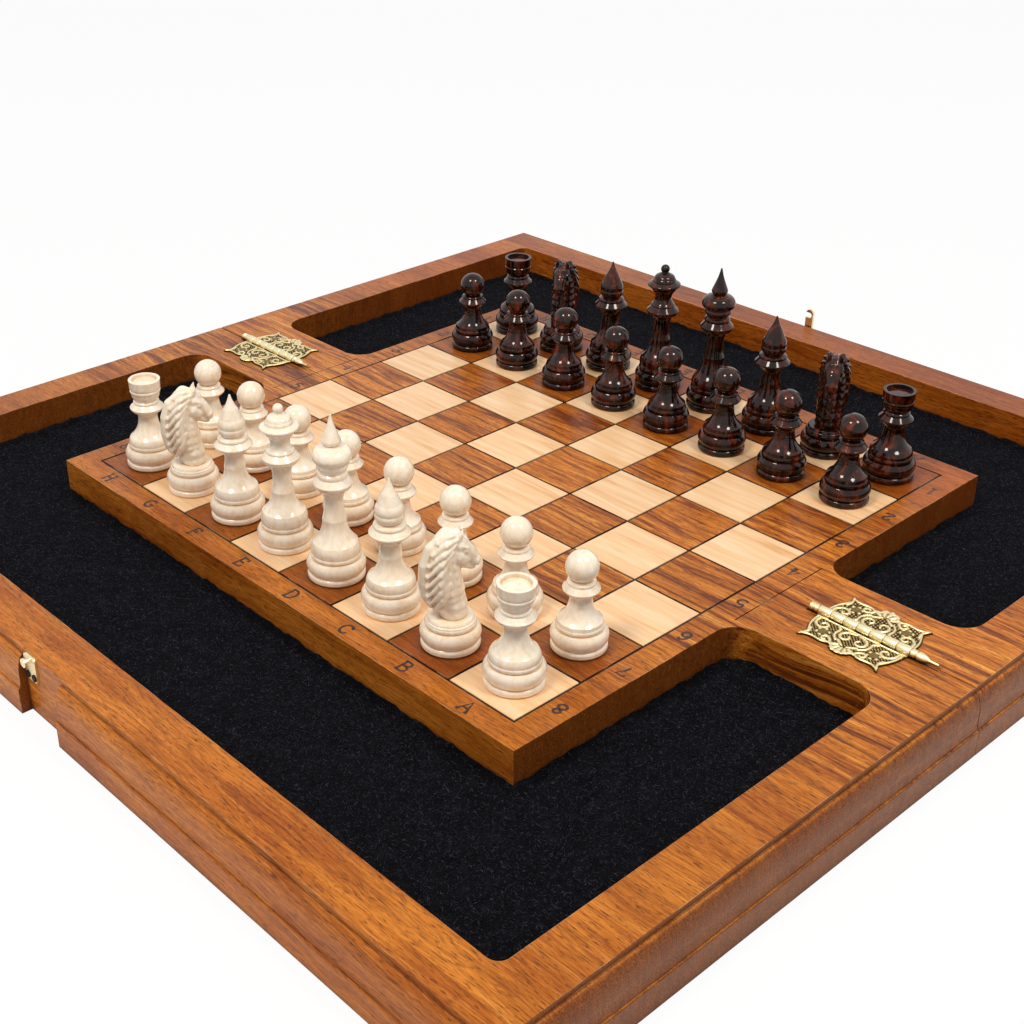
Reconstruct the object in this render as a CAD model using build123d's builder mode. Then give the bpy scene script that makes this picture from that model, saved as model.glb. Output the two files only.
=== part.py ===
"""Folding chess box, opened flat, with its 32 men set out on the board.

X runs across the fold from the white half (-X) to the black half (+X), Y along the fold from
file A to file H, Z up. The origin is on the surface that the box stands on, under its centre.
All sizes are in millimetres.
"""

import math
import os

from build123d import *

os.makedirs("parts", exist_ok=True)

# ---- board ----
square = 36.0            # pitch of the squares
files = 8                # squares along the fold
half_ranks = 4           # squares across each half
line_width = 1.1         # dark engraved line between two squares
line_depth = 0.4
border = 12.5            # plain band round the squares that carries the letters and numbers
tile_thickness = 2.0     # light squares, inlaid flush
tile_clearance = 0.05    # round each light square in its recess
score_width = 0.5        # fine line that carries the board's side on across the hinge land
score_depth = 0.3

# ---- halves ----
deck_thickness = 18.0    # routed top panel
base_thickness = 12.0    # panel that closes the wells below
well_across = 76.0       # from the board to the far rail
well_along = 70.0        # from the board to a side rail
rail_width = 21.0        # flat top of the outer rails
land_width = 30.0        # wood beside the fold that carries a hinge
well_corner = 12.0       # corners beside the hinge land
rail_corner = 5.0        # corners between two rails
seam_gap = 0.5           # between the two halves
edge_strip = 2.6         # upright strip under the sharp top edge
edge_step = 0.3          # strip to the first round
ovolo_reach = 3.2        # convex round of the moulded side
ovolo_drop = 9.4
cove_drop = 5.0          # hollow below it
cove_hollow = 0.1        # hollow's middle beyond the round's foot
base_reach = 4.8         # base beyond the deck's top edge
base_round = 0.8
felt_thickness = 1.6
felt_clearance = 0.15

# ---- hinges ----
hinge_centre = 198.0     # from the box's centre, along the fold
axis_lift = 1.6          # fold axis above the board
barrel_radius = 2.2
knuckles = 7
knuckle_pitch = 6.1
knuckle_gap = 0.2
pin_radius = 1.1
pin_clearance = 0.05
leaf_thickness = 1.0
leaf_reach = 18.0        # straight part of the leaf's outer side, from the fold
shell_reach = 20.6       # shell at the middle of that side
shell_radius = 4.2
horn_offset = 15.6       # curled corners, from the hinge's middle
horn_radius = 1.7
waist_radius = 5.0       # hollows that run from the corners to the barrel
waist_shift = 3.6        # their centres beyond the leaf's sloping ends
strap_overlap = 1.0      # strap of a knuckle under the leaf's plate
barrel_clearance = 0.35  # round the barrel, in leaf and wood
ring_radius = 1.9        # turned ends of the pin
ring_length = 2.2
ring_ease = 0.4          # sloping edge of a ring
ring_neck = 1.4          # radius between two rings and at the pin's back end
bell_length = 5.4
bell_lip = 0.8           # from the ring to the bell's full width
bell_waist = 1.5         # radius of the bell at bell_fall below the ring
bell_fall = 3.8
tip_length = 4.2
tip_radius = 0.7
tip_end_radius = 0.55
hollow_margin = 1.0      # hollow in the wood beyond the pin's ends
screw_offset_x = 11.6
screw_offset_y = 11.8
screw_radius = 1.0
screw_length = 8.0
screw_head_radius = 1.9
screw_head_height = 0.9

# ---- latch ----
latch_y = 12.0           # pivot, along the fold
pivot_drop = 7.0         # pivot below the board
latch_plate_height = 15.0
latch_plate_width = 12.0
latch_plate_thickness = 1.0
latch_plate_corner = 2.0
latch_plate_rise = 1.0   # plate above the hook's boss
hook_thickness = 1.6
hook_clearance = 0.05
hook_width = 4.8
hook_boss_radius = 3.2
hook_tip = 17.2          # pivot to tip
hook_reach = 13.8        # pivot to the stud that it catches
hook_angle = 20.0        # swing from upright to the stud, degrees
stud_radius = 1.2
stud_play = 0.4
stud_head_radius = 2.0
stud_head_height = 0.8
rivet_radius = 1.5
rivet_head_radius = 2.8
rivet_head_height = 0.8
keeper_width = 9.0
keeper_height = 12.0
keeper_drop = 0.4        # keeper's upper end below the board
seat_margin = 1.5        # flat seat beyond the keeper and beyond the lowered hook
latch_screw_radius = 0.8
latch_screw_length = 7.0
latch_screw_head_radius = 1.6
latch_screw_head_height = 0.4
latch_screw_inset = 2.3  # from the lower end of plate and keeper
latch_screw_spread = 3.0  # each side of the plate's middle
keeper_screw_spread = 2.4

# ---- chessmen ----
pawn_foot, pawn_height = 11.5, 43.4
rook_foot, rook_height = 12.2, 44.4
knight_foot, knight_height = 12.1, 53.6
bishop_foot, bishop_height = 12.3, 60.2
queen_foot, queen_height = 12.2, 68.0
king_foot, king_height = 12.5, 75.4
cup_depth = 1.6          # hollow in the rook's top
knight_turn = 28.0       # heads turned from facing straight across, degrees

# ---- dependent places ----
field_across = half_ranks * square
field_along = files * square / 2
board_across = field_across + border
board_along = field_along + border
inner_across = board_across + well_across
inner_along = board_along + well_along
outer_across = inner_across + rail_width
outer_along = inner_along + rail_width
board_top = base_thickness + deck_thickness
fold_height = board_top + axis_lift
seam = seam_gap / 2
groove_radius = barrel_radius + barrel_clearance
base_top = base_thickness
barrel_length = knuckles * knuckle_pitch
hollow_front = barrel_length / 2 + ring_length + bell_length + tip_length + hollow_margin
hollow_back = barrel_length / 2 + 2 * ring_length + hollow_margin
hinge_places = {"front": -hinge_centre, "back": hinge_centre}
latch_height = board_top - pivot_drop
plate_top = latch_height + hook_boss_radius + latch_plate_rise
plate_low_screws = plate_top - latch_plate_height + latch_screw_inset
keeper_top = board_top - keeper_drop
keeper_low_screws = keeper_top - keeper_height + latch_screw_inset
stud_y = latch_y + hook_reach * math.sin(math.radians(hook_angle))
stud_height = 2 * fold_height - latch_height - hook_reach * math.cos(math.radians(hook_angle))

# each half as (name, turn about Z): a half is the other one turned end for end
HALVES = {"white": 180.0, "black": 0.0}


def save(piece, name):
    """Label a finished piece and write it to its own file."""
    piece.part.label = name
    export_step(piece.part, f"parts/{name}.step")


def is_light(rank, file):
    """Light squares of the black half, rank 0 beside the fold and file 0 at file A."""
    return (rank + file) % 2 == 0


def square_centres(light):
    """Middles of the light or dark squares of the black half."""
    return [
        (square * (rank + 0.5), square * (file + 0.5) - field_along)
        for rank in range(half_ranks)
        for file in range(files)
        if is_light(rank, file) == light
    ]


# ---- wells ----
def draw_well(clearance=0.0):
    """U-shaped outline of the black half's well."""
    near = land_width + clearance
    board_x = board_across + clearance
    board_y = board_along + clearance
    far = inner_across - clearance
    side = inner_along - clearance
    with BuildSketch() as outline:
        with BuildLine():
            Polyline(
                (near, -side), (far, -side), (far, side), (near, side),
                (near, board_y), (board_x, board_y), (board_x, -board_y), (near, -board_y),
                close=True,
            )
        make_face()
        fillet(outline.vertices().group_by(Axis.X)[-1], rail_corner)
        fillet(outline.vertices().group_by(Axis.X)[0], well_corner)
    return outline.sketch


well_outline = draw_well()
felt_outline = draw_well(felt_clearance)


# ---- deck: rails, hinge land and raised board, routed from one panel ----
with BuildPart() as deck:
    with BuildSketch(Plane.XY.offset(base_top)):
        with Locations((seam, 0)):
            Rectangle(outer_across - seam, 2 * outer_along, align=(Align.MIN, Align.CENTER))
    extrude(amount=deck_thickness)
    # moulded side: strip, convex round and hollow, mitred round the three outer sides
    with BuildLine() as side_path:
        Polyline(
            (seam, -outer_along, base_top), (outer_across, -outer_along, base_top),
            (outer_across, outer_along, base_top), (seam, outer_along, base_top),
        )
    with BuildSketch(Plane((seam, -outer_along, base_top), x_dir=(0, -1, 0), z_dir=(-1, 0, 0))):
        strip_foot = deck_thickness - edge_strip
        round_foot = strip_foot - ovolo_drop
        with BuildLine():
            Line((-edge_strip, 0), (-edge_strip, strip_foot))
            Line((-edge_strip, strip_foot), (edge_step, strip_foot))
            EllipticalCenterArc(
                (edge_step, round_foot), ovolo_reach, ovolo_drop, start_angle=0, arc_size=90,
            )
            cove_top = (edge_step + ovolo_reach, cove_drop)
            Line((edge_step + ovolo_reach, round_foot), cove_top)
            cove_foot = (base_reach - base_round, 0)
            cove_middle = (edge_step + ovolo_reach + cove_hollow, cove_drop / 2)
            ThreePointArc(cove_top, cove_middle, cove_foot)
            Line(cove_foot, (-edge_strip, 0))
        make_face()
    sweep(path=side_path.wires()[0], transition=Transition.RIGHT)
    # wells, cut right through
    with BuildSketch(Plane.XY.offset(base_top)):
        add(well_outline)
    extrude(amount=deck_thickness, mode=Mode.SUBTRACT)
    # engraved lines round every square
    with BuildSketch(Plane.XY.offset(board_top)):
        for rank in range(1, half_ranks + 1):
            with Locations((rank * square, 0)):
                Rectangle(line_width, 2 * field_along + line_width)
        for file in range(files + 1):
            with Locations((0, file * square - field_along)):
                Rectangle(
                    field_across + line_width / 2, line_width, align=(Align.MIN, Align.CENTER),
                )
    extrude(amount=-line_depth, mode=Mode.SUBTRACT)
    with BuildSketch(Plane.XY.offset(board_top)):
        with Locations((0, board_along), (0, -board_along)):
            Rectangle(land_width, score_width, align=(Align.MIN, Align.CENTER))
    extrude(amount=-score_depth, mode=Mode.SUBTRACT)
    # recesses of the light squares
    with BuildSketch(Plane.XY.offset(board_top)):
        with Locations(*square_centres(light=True)):
            Rectangle(square - line_width, square - line_width)
    extrude(amount=-tile_thickness, mode=Mode.SUBTRACT)
    # eased edge along the seam, as wide as half an engraved line
    with BuildSketch(Plane.XZ.offset(outer_along + base_reach)):
        with BuildLine():
            Polyline(
                (0, board_top), (line_width / 2, board_top),
                (0, board_top - line_width / 2), close=True,
            )
        make_face()
    extrude(amount=-2 * (outer_along + base_reach), mode=Mode.SUBTRACT)

# ---- base panel ----
with BuildPart() as base:
    with BuildSketch():
        with Locations((seam, 0)):
            Rectangle(
                outer_across + base_reach - seam, 2 * (outer_along + base_reach),
                align=(Align.MIN, Align.CENTER),
            )
    extrude(amount=base_thickness)
    top_edges = base.faces().sort_by(Axis.Z)[-1].edges()
    fillet(top_edges.sort_by(Axis.X)[1:], base_round)

# ---- felt lining on the floor of the well ----
with BuildPart() as felt:
    with BuildSketch(Plane.XY.offset(base_top)):
        add(felt_outline)
    extrude(amount=felt_thickness)

# ---- light squares ----
with BuildPart() as tiles:
    with BuildSketch(Plane.XY.offset(board_top - tile_thickness)):
        with Locations(*square_centres(light=True)):
            tile_side = square - line_width - 2 * tile_clearance
            Rectangle(tile_side, tile_side)
    extrude(amount=tile_thickness)

outer_face = Plane((outer_across, 0, 0), x_dir=(0, 1, 0), z_dir=(1, 0, 0))
white_face = Plane((-outer_across, 0, 0), x_dir=(0, -1, 0), z_dir=(-1, 0, 0))


def screw_holes(half):
    """Pilot holes of the hinge screws of one half, as (x, y) places."""
    side = 1 if half == "black" else -1
    return [
        (side * screw_offset_x, hinge_y + offset)
        for hinge_y in hinge_places.values()
        for offset in (-screw_offset_y, screw_offset_y)
    ]


def latch_screw_places(half):
    """Places of the two latch screws on the outer face of one half, as (y, height)."""
    if half == "black":
        middle, spread, height = latch_y, latch_screw_spread, plate_low_screws
    else:
        middle, spread, height = stud_y, keeper_screw_spread, keeper_low_screws
    return [(middle - spread, height), (middle + spread, height)]


def side_plane(half):
    """Upright plane of one half's outer side, and the sign of Y along it."""
    if half == "black":
        return outer_face, 1
    return white_face, -1


seat_left = latch_y - hook_tip - seat_margin
seat_right = stud_y + keeper_width / 2 + seat_margin

for half, turn in HALVES.items():
    plane, sign = side_plane(half)
    seat_middle = sign * (seat_left + seat_right) / 2
    with BuildPart() as half_deck:
        add(deck.part, rotation=(0, 0, turn))
        # hollows for the hinge barrels and the turned ends of their pins
        for hinge_y in hinge_places.values():
            with BuildSketch(Plane.XZ.offset(hollow_front - hinge_y)):
                with Locations((0, fold_height)):
                    Circle(groove_radius)
            extrude(amount=-(hollow_front + hollow_back), mode=Mode.SUBTRACT)
        # flat seat of the latch in the moulded side
        with BuildSketch(plane):
            with Locations((seat_middle, base_top)):
                Rectangle(
                    seat_right - seat_left, deck_thickness, align=(Align.CENTER, Align.MIN),
                )
        extrude(amount=base_reach, mode=Mode.SUBTRACT)
        with BuildSketch(Plane.XY.offset(board_top)):
            with Locations(*screw_holes(half)):
                Circle(screw_radius)
        extrude(amount=-screw_length, mode=Mode.SUBTRACT)
        with BuildSketch(plane):
            with Locations(*[(sign * y, z) for y, z in latch_screw_places(half)]):
                Circle(latch_screw_radius)
        extrude(amount=-latch_screw_length, mode=Mode.SUBTRACT)
    save(half_deck, f"{half}_deck")
    with BuildPart() as half_base:
        add(base.part, rotation=(0, 0, turn))
        with BuildSketch(plane):
            with Locations((seat_middle, 0)):
                Rectangle(
                    seat_right - seat_left, base_thickness, align=(Align.CENTER, Align.MIN),
                )
        extrude(amount=base_reach, mode=Mode.SUBTRACT)
    save(half_base, f"{half}_base")
    with BuildPart() as half_felt:
        add(felt.part, rotation=(0, 0, turn))
    save(half_felt, f"{half}_felt")
    with BuildPart() as half_tiles:
        add(tiles.part, rotation=(0, 0, turn))
    save(half_tiles, f"{half}_light_squares")


# ---- hinges ----
def leaf_outline():
    """Cartouche leaf on the +X side: straight side, shell, curled corners and hollow ends."""
    start = groove_radius
    bite = (leaf_reach + groove_radius) / 2
    bite_y = (barrel_length / 2 + horn_offset) / 2 + waist_shift
    with BuildSketch() as outline:
        with BuildLine():
            Polyline(
                (start, -barrel_length / 2), (leaf_reach, -horn_offset),
                (leaf_reach, horn_offset), (start, barrel_length / 2), close=True,
            )
        make_face()
        with Locations((bite, -bite_y), (bite, bite_y)):
            Circle(waist_radius, mode=Mode.SUBTRACT)
        with Locations((shell_reach - shell_radius, 0)):
            Circle(shell_radius)
        with Locations((leaf_reach, -horn_offset), (leaf_reach, horn_offset)):
            Circle(horn_radius)
    return outline.sketch


leaf_shape = leaf_outline()


def make_leaf(name, hinge_y, half):
    """One leaf with its own knuckles: the white leaf has the odd ones, the black the even."""
    first = 0 if half == "white" else 1
    turn = HALVES[half]
    with BuildPart() as leaf:
        with BuildSketch(Plane.XY.offset(board_top)):
            add(leaf_shape)
        extrude(amount=leaf_thickness)
        heads = [(screw_offset_x, -screw_offset_y), (screw_offset_x, screw_offset_y)]
        with BuildSketch(Plane.XY.offset(board_top)):
            with Locations(*heads):
                Circle(screw_head_radius)
        extrude(amount=leaf_thickness, mode=Mode.SUBTRACT)
        for index in range(first, knuckles, 2):
            start = index * knuckle_pitch - barrel_length / 2 + knuckle_gap / 2
            length = knuckle_pitch - knuckle_gap
            with BuildSketch(Plane.XZ.offset(-start)):
                with Locations((0, fold_height)):
                    Circle(barrel_radius)
                with Locations((0, board_top)):
                    Rectangle(groove_radius + strap_overlap, leaf_thickness, align=Align.MIN)
            extrude(amount=-length)
        with BuildSketch(Plane.XZ.offset(barrel_length / 2)):
            with Locations((0, fold_height)):
                Circle(pin_radius + (pin_clearance if half == "black" else 0))
        extrude(amount=-barrel_length, mode=Mode.SUBTRACT)
    with BuildPart() as placed:
        with Locations((0, hinge_y, 0)):
            add(leaf.part, rotation=(0, 0, turn))
    save(placed, name)


def make_pin(name, hinge_y):
    """Hinge pin with two rings at its back end, and a ring, bell and tip at its front end."""
    head = barrel_length / 2 + knuckle_gap
    back_end = head + 2 * ring_length
    bell = -head - ring_length
    tip = bell - bell_length
    with BuildPart() as pin:
        with BuildSketch(Plane((0, hinge_y, fold_height), x_dir=(1, 0, 0), z_dir=(0, 0, 1))):
            with BuildLine():
                Polyline(
                    (0, back_end), (ring_neck, back_end),
                    (ring_radius, back_end - ring_ease),
                    (ring_radius, head + ring_length + ring_ease),
                    (ring_neck, head + ring_length),
                    (ring_radius, head + ring_length - ring_ease),
                    (ring_radius, head), (pin_radius, head),
                    (pin_radius, -head), (ring_radius, -head),
                    (ring_radius, bell + ring_ease), (ring_neck, bell),
                    (ring_radius, bell - bell_lip),
                )
                bell_top = (ring_radius, bell - bell_lip)
                bell_foot = (tip_radius, tip)
                ThreePointArc(bell_top, (bell_waist, bell - bell_fall), bell_foot)
                Polyline(
                    bell_foot, (tip_end_radius, tip - tip_length), (0, tip - tip_length),
                    (0, back_end),
                )
            make_face()
        revolve(axis=Axis((0, hinge_y, fold_height), (0, 1, 0)))
    save(pin, name)


for end, place in hinge_places.items():
    for half in HALVES:
        make_leaf(f"{half}_hinge_leaf_{end}", place, half)
    make_pin(f"hinge_pin_{end}", place)

for half in HALVES:
    plane, sign = side_plane(half)
    with BuildPart() as screws:
        with BuildSketch(Plane.XY.offset(board_top)):
            with Locations(*screw_holes(half)):
                Circle(screw_radius)
        extrude(amount=-screw_length)
        with BuildSketch(Plane.XY.offset(board_top)):
            with Locations(*screw_holes(half)):
                Circle(screw_head_radius)
        extrude(amount=screw_head_height)
        with BuildSketch(plane):
            with Locations(*[(sign * y, z) for y, z in latch_screw_places(half)]):
                Circle(latch_screw_radius)
        extrude(amount=-latch_screw_length)
        with BuildSketch(plane):
            with Locations(*[(sign * y, z) for y, z in latch_screw_places(half)]):
                Circle(latch_screw_radius)
        extrude(amount=latch_plate_thickness)
        with BuildSketch(plane.offset(latch_plate_thickness)):
            with Locations(*[(sign * y, z) for y, z in latch_screw_places(half)]):
                Circle(latch_screw_head_radius)
        extrude(amount=latch_screw_head_height)
    save(screws, f"{half}_screws")

# ---- latch: plate, rivet and hook on the black half, stud on the white half ----
with BuildPart() as latch_plate:
    with BuildSketch(outer_face):
        with Locations((latch_y, plate_top)):
            RectangleRounded(
                latch_plate_width, latch_plate_height, latch_plate_corner,
                align=(Align.CENTER, Align.MAX),
            )
        with Locations(*latch_screw_places("black")):
            Circle(latch_screw_radius, mode=Mode.SUBTRACT)
    extrude(amount=latch_plate_thickness)
save(latch_plate, "latch_plate")

hook_base = latch_plate_thickness + hook_clearance
with BuildPart() as latch_rivet:
    with BuildSketch(outer_face.offset(latch_plate_thickness)):
        with Locations((latch_y, latch_height)):
            Circle(rivet_radius)
    extrude(amount=hook_thickness + 2 * hook_clearance)
    with BuildSketch(outer_face.offset(hook_base + hook_thickness + hook_clearance)):
        with Locations((latch_y, latch_height)):
            Circle(rivet_head_radius)
    extrude(amount=rivet_head_height)
    fillet(latch_rivet.edges().group_by(Axis.X)[-1], rivet_head_height / 2)
save(latch_rivet, "latch_rivet")

with BuildPart() as latch_hook:
    with BuildSketch(outer_face.offset(hook_base)):
        with Locations((latch_y, latch_height)):
            Circle(hook_boss_radius)
            tip_round = hook_width / 2
            with Locations((0, (hook_tip - tip_round) / 2)):
                Rectangle(hook_width, hook_tip - tip_round)
            with Locations((0, hook_tip - tip_round)):
                Circle(tip_round)
            with Locations((0, hook_reach)):
                Circle(stud_radius + stud_play, mode=Mode.SUBTRACT)
                Rectangle(
                    hook_width, 2 * (stud_radius + stud_play),
                    align=(Align.MIN, Align.CENTER), mode=Mode.SUBTRACT,
                )
            Circle(rivet_radius + hook_clearance, mode=Mode.SUBTRACT)
    extrude(amount=hook_thickness)
save(latch_hook, "latch_hook")

with BuildPart() as latch_keeper:
    with BuildSketch(white_face):
        with Locations((-stud_y, keeper_top)):
            RectangleRounded(
                keeper_width, keeper_height, latch_plate_corner, align=(Align.CENTER, Align.MAX),
            )
        with Locations(*[(-y, z) for y, z in latch_screw_places("white")]):
            Circle(latch_screw_radius, mode=Mode.SUBTRACT)
    extrude(amount=latch_plate_thickness)
    with BuildSketch(white_face.offset(latch_plate_thickness)):
        with Locations((-stud_y, stud_height)):
            Circle(stud_radius)
    extrude(amount=hook_thickness + stud_play)
    with BuildSketch(white_face.offset(latch_plate_thickness + hook_thickness + stud_play)):
        with Locations((-stud_y, stud_height)):
            Circle(stud_head_radius)
    extrude(amount=stud_head_height)
save(latch_keeper, "latch_keeper")


# ---- chessmen ----
def bulged(start, end, bulge):
    """Middle of an arc from start to end that stands off the straight line by bulge."""
    run = (end[0] - start[0], end[1] - start[1])
    length = math.hypot(*run)
    return (
        (start[0] + end[0]) / 2 + bulge * run[1] / length,
        (start[1] + end[1]) / 2 - bulge * run[0] / length,
    )


def turned(foot, height, upper, crown=0.0):
    """Turned man: foot, torus and ring, then the upper stations up to the height.

    Each station is (radius as a share of the foot, height as a share of what stands above the
    ring, bulge in mm of the line that leads to it). A crown is a ball of that share of the foot,
    centred on the axis, which closes the top.
    """
    body_start = FOOT[-1][1]
    rise = height - body_start
    stations = [(foot - inset, level, bulge) for inset, level, bulge in FOOT]
    stations += [(foot * radius, body_start + rise * share, bulge) for radius, share, bulge in upper]
    ball = crown * foot
    if ball:
        seat = height - ball - math.sqrt(ball**2 - stations[-1][0] ** 2)
        stations[-1] = (stations[-1][0], seat, 0.0)
    previous = (0.0, 0.0)
    with BuildSketch() as outline:
        with BuildLine():
            for radius, station_height, bulge in stations:
                point = (radius, station_height)
                if bulge:
                    ThreePointArc(previous, bulged(previous, point, bulge), point)
                else:
                    Line(previous, point)
                previous = point
            if ball:
                ThreePointArc(previous, (ball, height - ball), (0.0, height))
                previous = (0.0, height)
            else:
                Line(previous, (0.0, previous[1]))
            Line((0.0, previous[1]), (0.0, 0.0))
        make_face()
    return outline.sketch


FOOT = [
    # inset from the foot's radius, height and bulge, all in mm: foot, torus and ring of every man
    (0.7, 0.0, 0.0), (0.0, 1.5, 0.3), (1.0, 3.2, 0.4), (1.0, 9.5, 1.3), (2.3, 9.7, 0.0),
    (2.0, 11.8, 0.5),
]
PAWN = [
    (0.80, 0.05, 0.0), (0.42, 0.28, -0.9), (0.39, 0.37, -0.1), (0.55, 0.44, -0.4),
    (0.63, 0.47, 0.1), (0.63, 0.50, 0.3), (0.50, 0.56, 0.0), (0.48, 0.60, 0.2),
    (0.36, 0.62, 0.0),
]
PAWN_BALL = 0.583
ROOK = [
    (0.76, 0.10, 0.3), (0.40, 0.34, -0.9), (0.39, 0.43, -0.1), (0.58, 0.51, -0.5),
    (0.64, 0.545, 0.1), (0.64, 0.575, 0.3), (0.50, 0.63, 0.0), (0.49, 0.67, 0.2),
    (0.45, 0.685, 0.0), (0.57, 0.79, 0.35), (0.60, 0.84, 0.15), (0.58, 0.85, 0.0),
    (0.61, 0.90, 0.1), (0.62, 1.0, 0.0), (0.50, 1.0, 0.0),
]
BISHOP = [
    (0.78, 0.08, 0.3), (0.40, 0.28, -1.4), (0.35, 0.38, -0.1), (0.52, 0.45, -0.6),
    (0.69, 0.485, -0.2), (0.69, 0.51, 0.3), (0.55, 0.55, 0.0), (0.54, 0.58, 0.2),
    (0.40, 0.60, 0.0), (0.48, 0.68, 0.7), (0.41, 0.77, 0.5), (0.27, 0.86, 0.0),
    (0.03, 1.0, -0.3),
]
QUEEN = [
    (0.78, 0.10, 0.5), (0.42, 0.27, -1.3), (0.34, 0.40, -0.3), (0.40, 0.475, -0.2),
    (0.64, 0.525, -0.5), (0.66, 0.545, 0.1), (0.66, 0.565, 0.3), (0.50, 0.60, 0.0),
    (0.49, 0.62, 0.2), (0.36, 0.67, -0.3), (0.48, 0.75, -0.6), (0.69, 0.80, -0.3),
    (0.68, 0.82, 0.2), (0.50, 0.84, 0.0), (0.45, 0.87, 0.2), (0.32, 0.905, 0.35),
    (0.15, 0.925, 0.0), (0.14, 0.935, 0.0),
]
QUEEN_BALL = 0.19
KING = [
    (0.77, 0.08, 0.45), (0.42, 0.25, -1.3), (0.33, 0.37, -0.3), (0.38, 0.44, -0.2),
    (0.60, 0.485, -0.5), (0.65, 0.505, 0.1), (0.65, 0.525, 0.3), (0.51, 0.56, 0.0),
    (0.50, 0.59, 0.2), (0.44, 0.60, 0.0), (0.52, 0.63, -0.2), (0.54, 0.65, 0.2),
    (0.50, 0.665, 0.0), (0.68, 0.715, 0.7), (0.40, 0.775, 0.9), (0.26, 0.79, 0.0),
    (0.31, 0.83, 0.5), (0.17, 0.90, 0.0), (0.03, 1.0, -0.15),
]
KNIGHT_FOOT = [(0.79, 0.02, 0.2), (0.74, 0.05, 0.1)]

# side view of the carved head: how far forward, as a share of the foot, and how high, as a
# share of what stands above the turned foot
KNIGHT_FRONT = [
    (0.50, 0.0), (0.56, 0.14), (0.50, 0.30), (0.30, 0.44), (0.36, 0.52),
    (0.74, 0.46), (0.96, 0.52), (1.00, 0.62), (0.82, 0.74), (0.56, 0.84),
]
KNIGHT_EAR = [(0.40, 0.90), (0.36, 1.0), (0.16, 0.92)]
KNIGHT_CREST = [
    (-0.30, 0.90), (-0.62, 0.78), (-0.88, 0.60), (-0.95, 0.40), (-0.86, 0.18), (-0.66, 0.06),
    (-0.50, 0.0),
]


# half its thickness in mm, and how high, as in the side view
KNIGHT_TAPER = [(6.0, 0.0), (5.5, 0.45), (4.3, 0.8), (2.6, 1.0)]


def knight_base_top():
    """Height of the flat on the knight's turned foot, where the carved head is glued on."""
    body_start = FOOT[-1][1]
    return body_start + (knight_height - body_start) * KNIGHT_FOOT[-1][1]


def make_knight_head(name, x, y, heading):
    """Carved head: its side view, cut to the taper that it has from the front."""
    start = knight_base_top()
    rise = knight_height - start
    widest = KNIGHT_TAPER[0][0]

    def place(point):
        return (knight_foot * point[0], start + rise * point[1])

    right = [(half_width, start + rise * share) for half_width, share in KNIGHT_TAPER]
    left = [(-half_width, level) for half_width, level in reversed(right)]
    with BuildPart() as head:
        with BuildSketch(Plane.XZ.offset(-widest)):
            with BuildLine():
                Spline(*[place(point) for point in KNIGHT_FRONT])
                Polyline(place(KNIGHT_FRONT[-1]), *[place(point) for point in KNIGHT_EAR])
                Spline(place(KNIGHT_EAR[-1]), *[place(point) for point in KNIGHT_CREST])
                Line(place(KNIGHT_CREST[-1]), place(KNIGHT_FRONT[0]))
            make_face()
        extrude(amount=2 * widest)
        with BuildSketch(Plane.YZ.offset(-2 * knight_foot)):
            with BuildLine():
                Polyline(*right, *left, close=True)
            make_face()
        extrude(amount=4 * knight_foot, mode=Mode.INTERSECT)
    with BuildPart() as placed:
        with Locations((x, y, board_top)):
            add(head.part, rotation=(0, 0, heading))
    save(placed, name)


def make_man(name, x, y, foot, height, upper, crown=0.0, hollow=0.0):
    """One turned man, standing on the board at (x, y)."""
    outline = turned(foot, height, upper, crown)
    with BuildPart() as man:
        with BuildSketch(Plane.XZ):
            add(outline)
        revolve(axis=Axis.Z)
        if hollow:
            with BuildSketch(Plane.XY.offset(height)):
                Circle(foot * upper[-1][0])
            extrude(amount=-hollow, mode=Mode.SUBTRACT)
    with BuildPart() as placed:
        with Locations((x, y, board_top)):
            add(man.part)
    save(placed, name)


BACK_RANK = ("rook", "knight", "bishop", "king", "queen", "bishop", "knight", "rook")
MEN = {
    "pawn": (pawn_foot, pawn_height, PAWN, PAWN_BALL),
    "rook": (rook_foot, rook_height, ROOK),
    "bishop": (bishop_foot, bishop_height, BISHOP),
    "queen": (queen_foot, queen_height, QUEEN, QUEEN_BALL),
    "king": (king_foot, king_height, KING),
}
ARMIES = {
    # colour: back rank's label and x, pawns' label and x, way that the knights face
    "white": ("8", -(half_ranks - 0.5) * square, "7", -(half_ranks - 1.5) * square, -knight_turn),
    "black": ("1", (half_ranks - 0.5) * square, "2", (half_ranks - 1.5) * square, 180 + knight_turn),
}

for colour, (back_label, back_x, pawn_label, pawn_x, heading) in ARMIES.items():
    for file in range(files):
        letter = "abcdefgh"[file]
        file_y = square * (file + 0.5) - field_along
        kind = BACK_RANK[file]
        name = f"{colour}_{kind}_{letter}{back_label}"
        if kind == "knight":
            make_man(f"{name}_foot", back_x, file_y, knight_foot, knight_height, KNIGHT_FOOT)
            make_knight_head(f"{name}_head", back_x, file_y, heading)
        else:
            hollow = cup_depth if kind == "rook" else 0.0
            make_man(name, back_x, file_y, *MEN[kind], hollow=hollow)
        make_man(f"{colour}_pawn_{letter}{pawn_label}", pawn_x, file_y, *MEN["pawn"])
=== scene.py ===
"""Folding chess box, opened flat, with its men set out: finishes, carved and cast detail.

The scene is in metres, +X across the fold from the white half to the black half, +Y from file A
to file H, +Z up. The cast leaves, screws and carved heads are drawn in mm and scaled at the end.
"""
import math

import bmesh
import bpy
import numpy as np
from mathutils import Euler, Matrix, Vector


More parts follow.
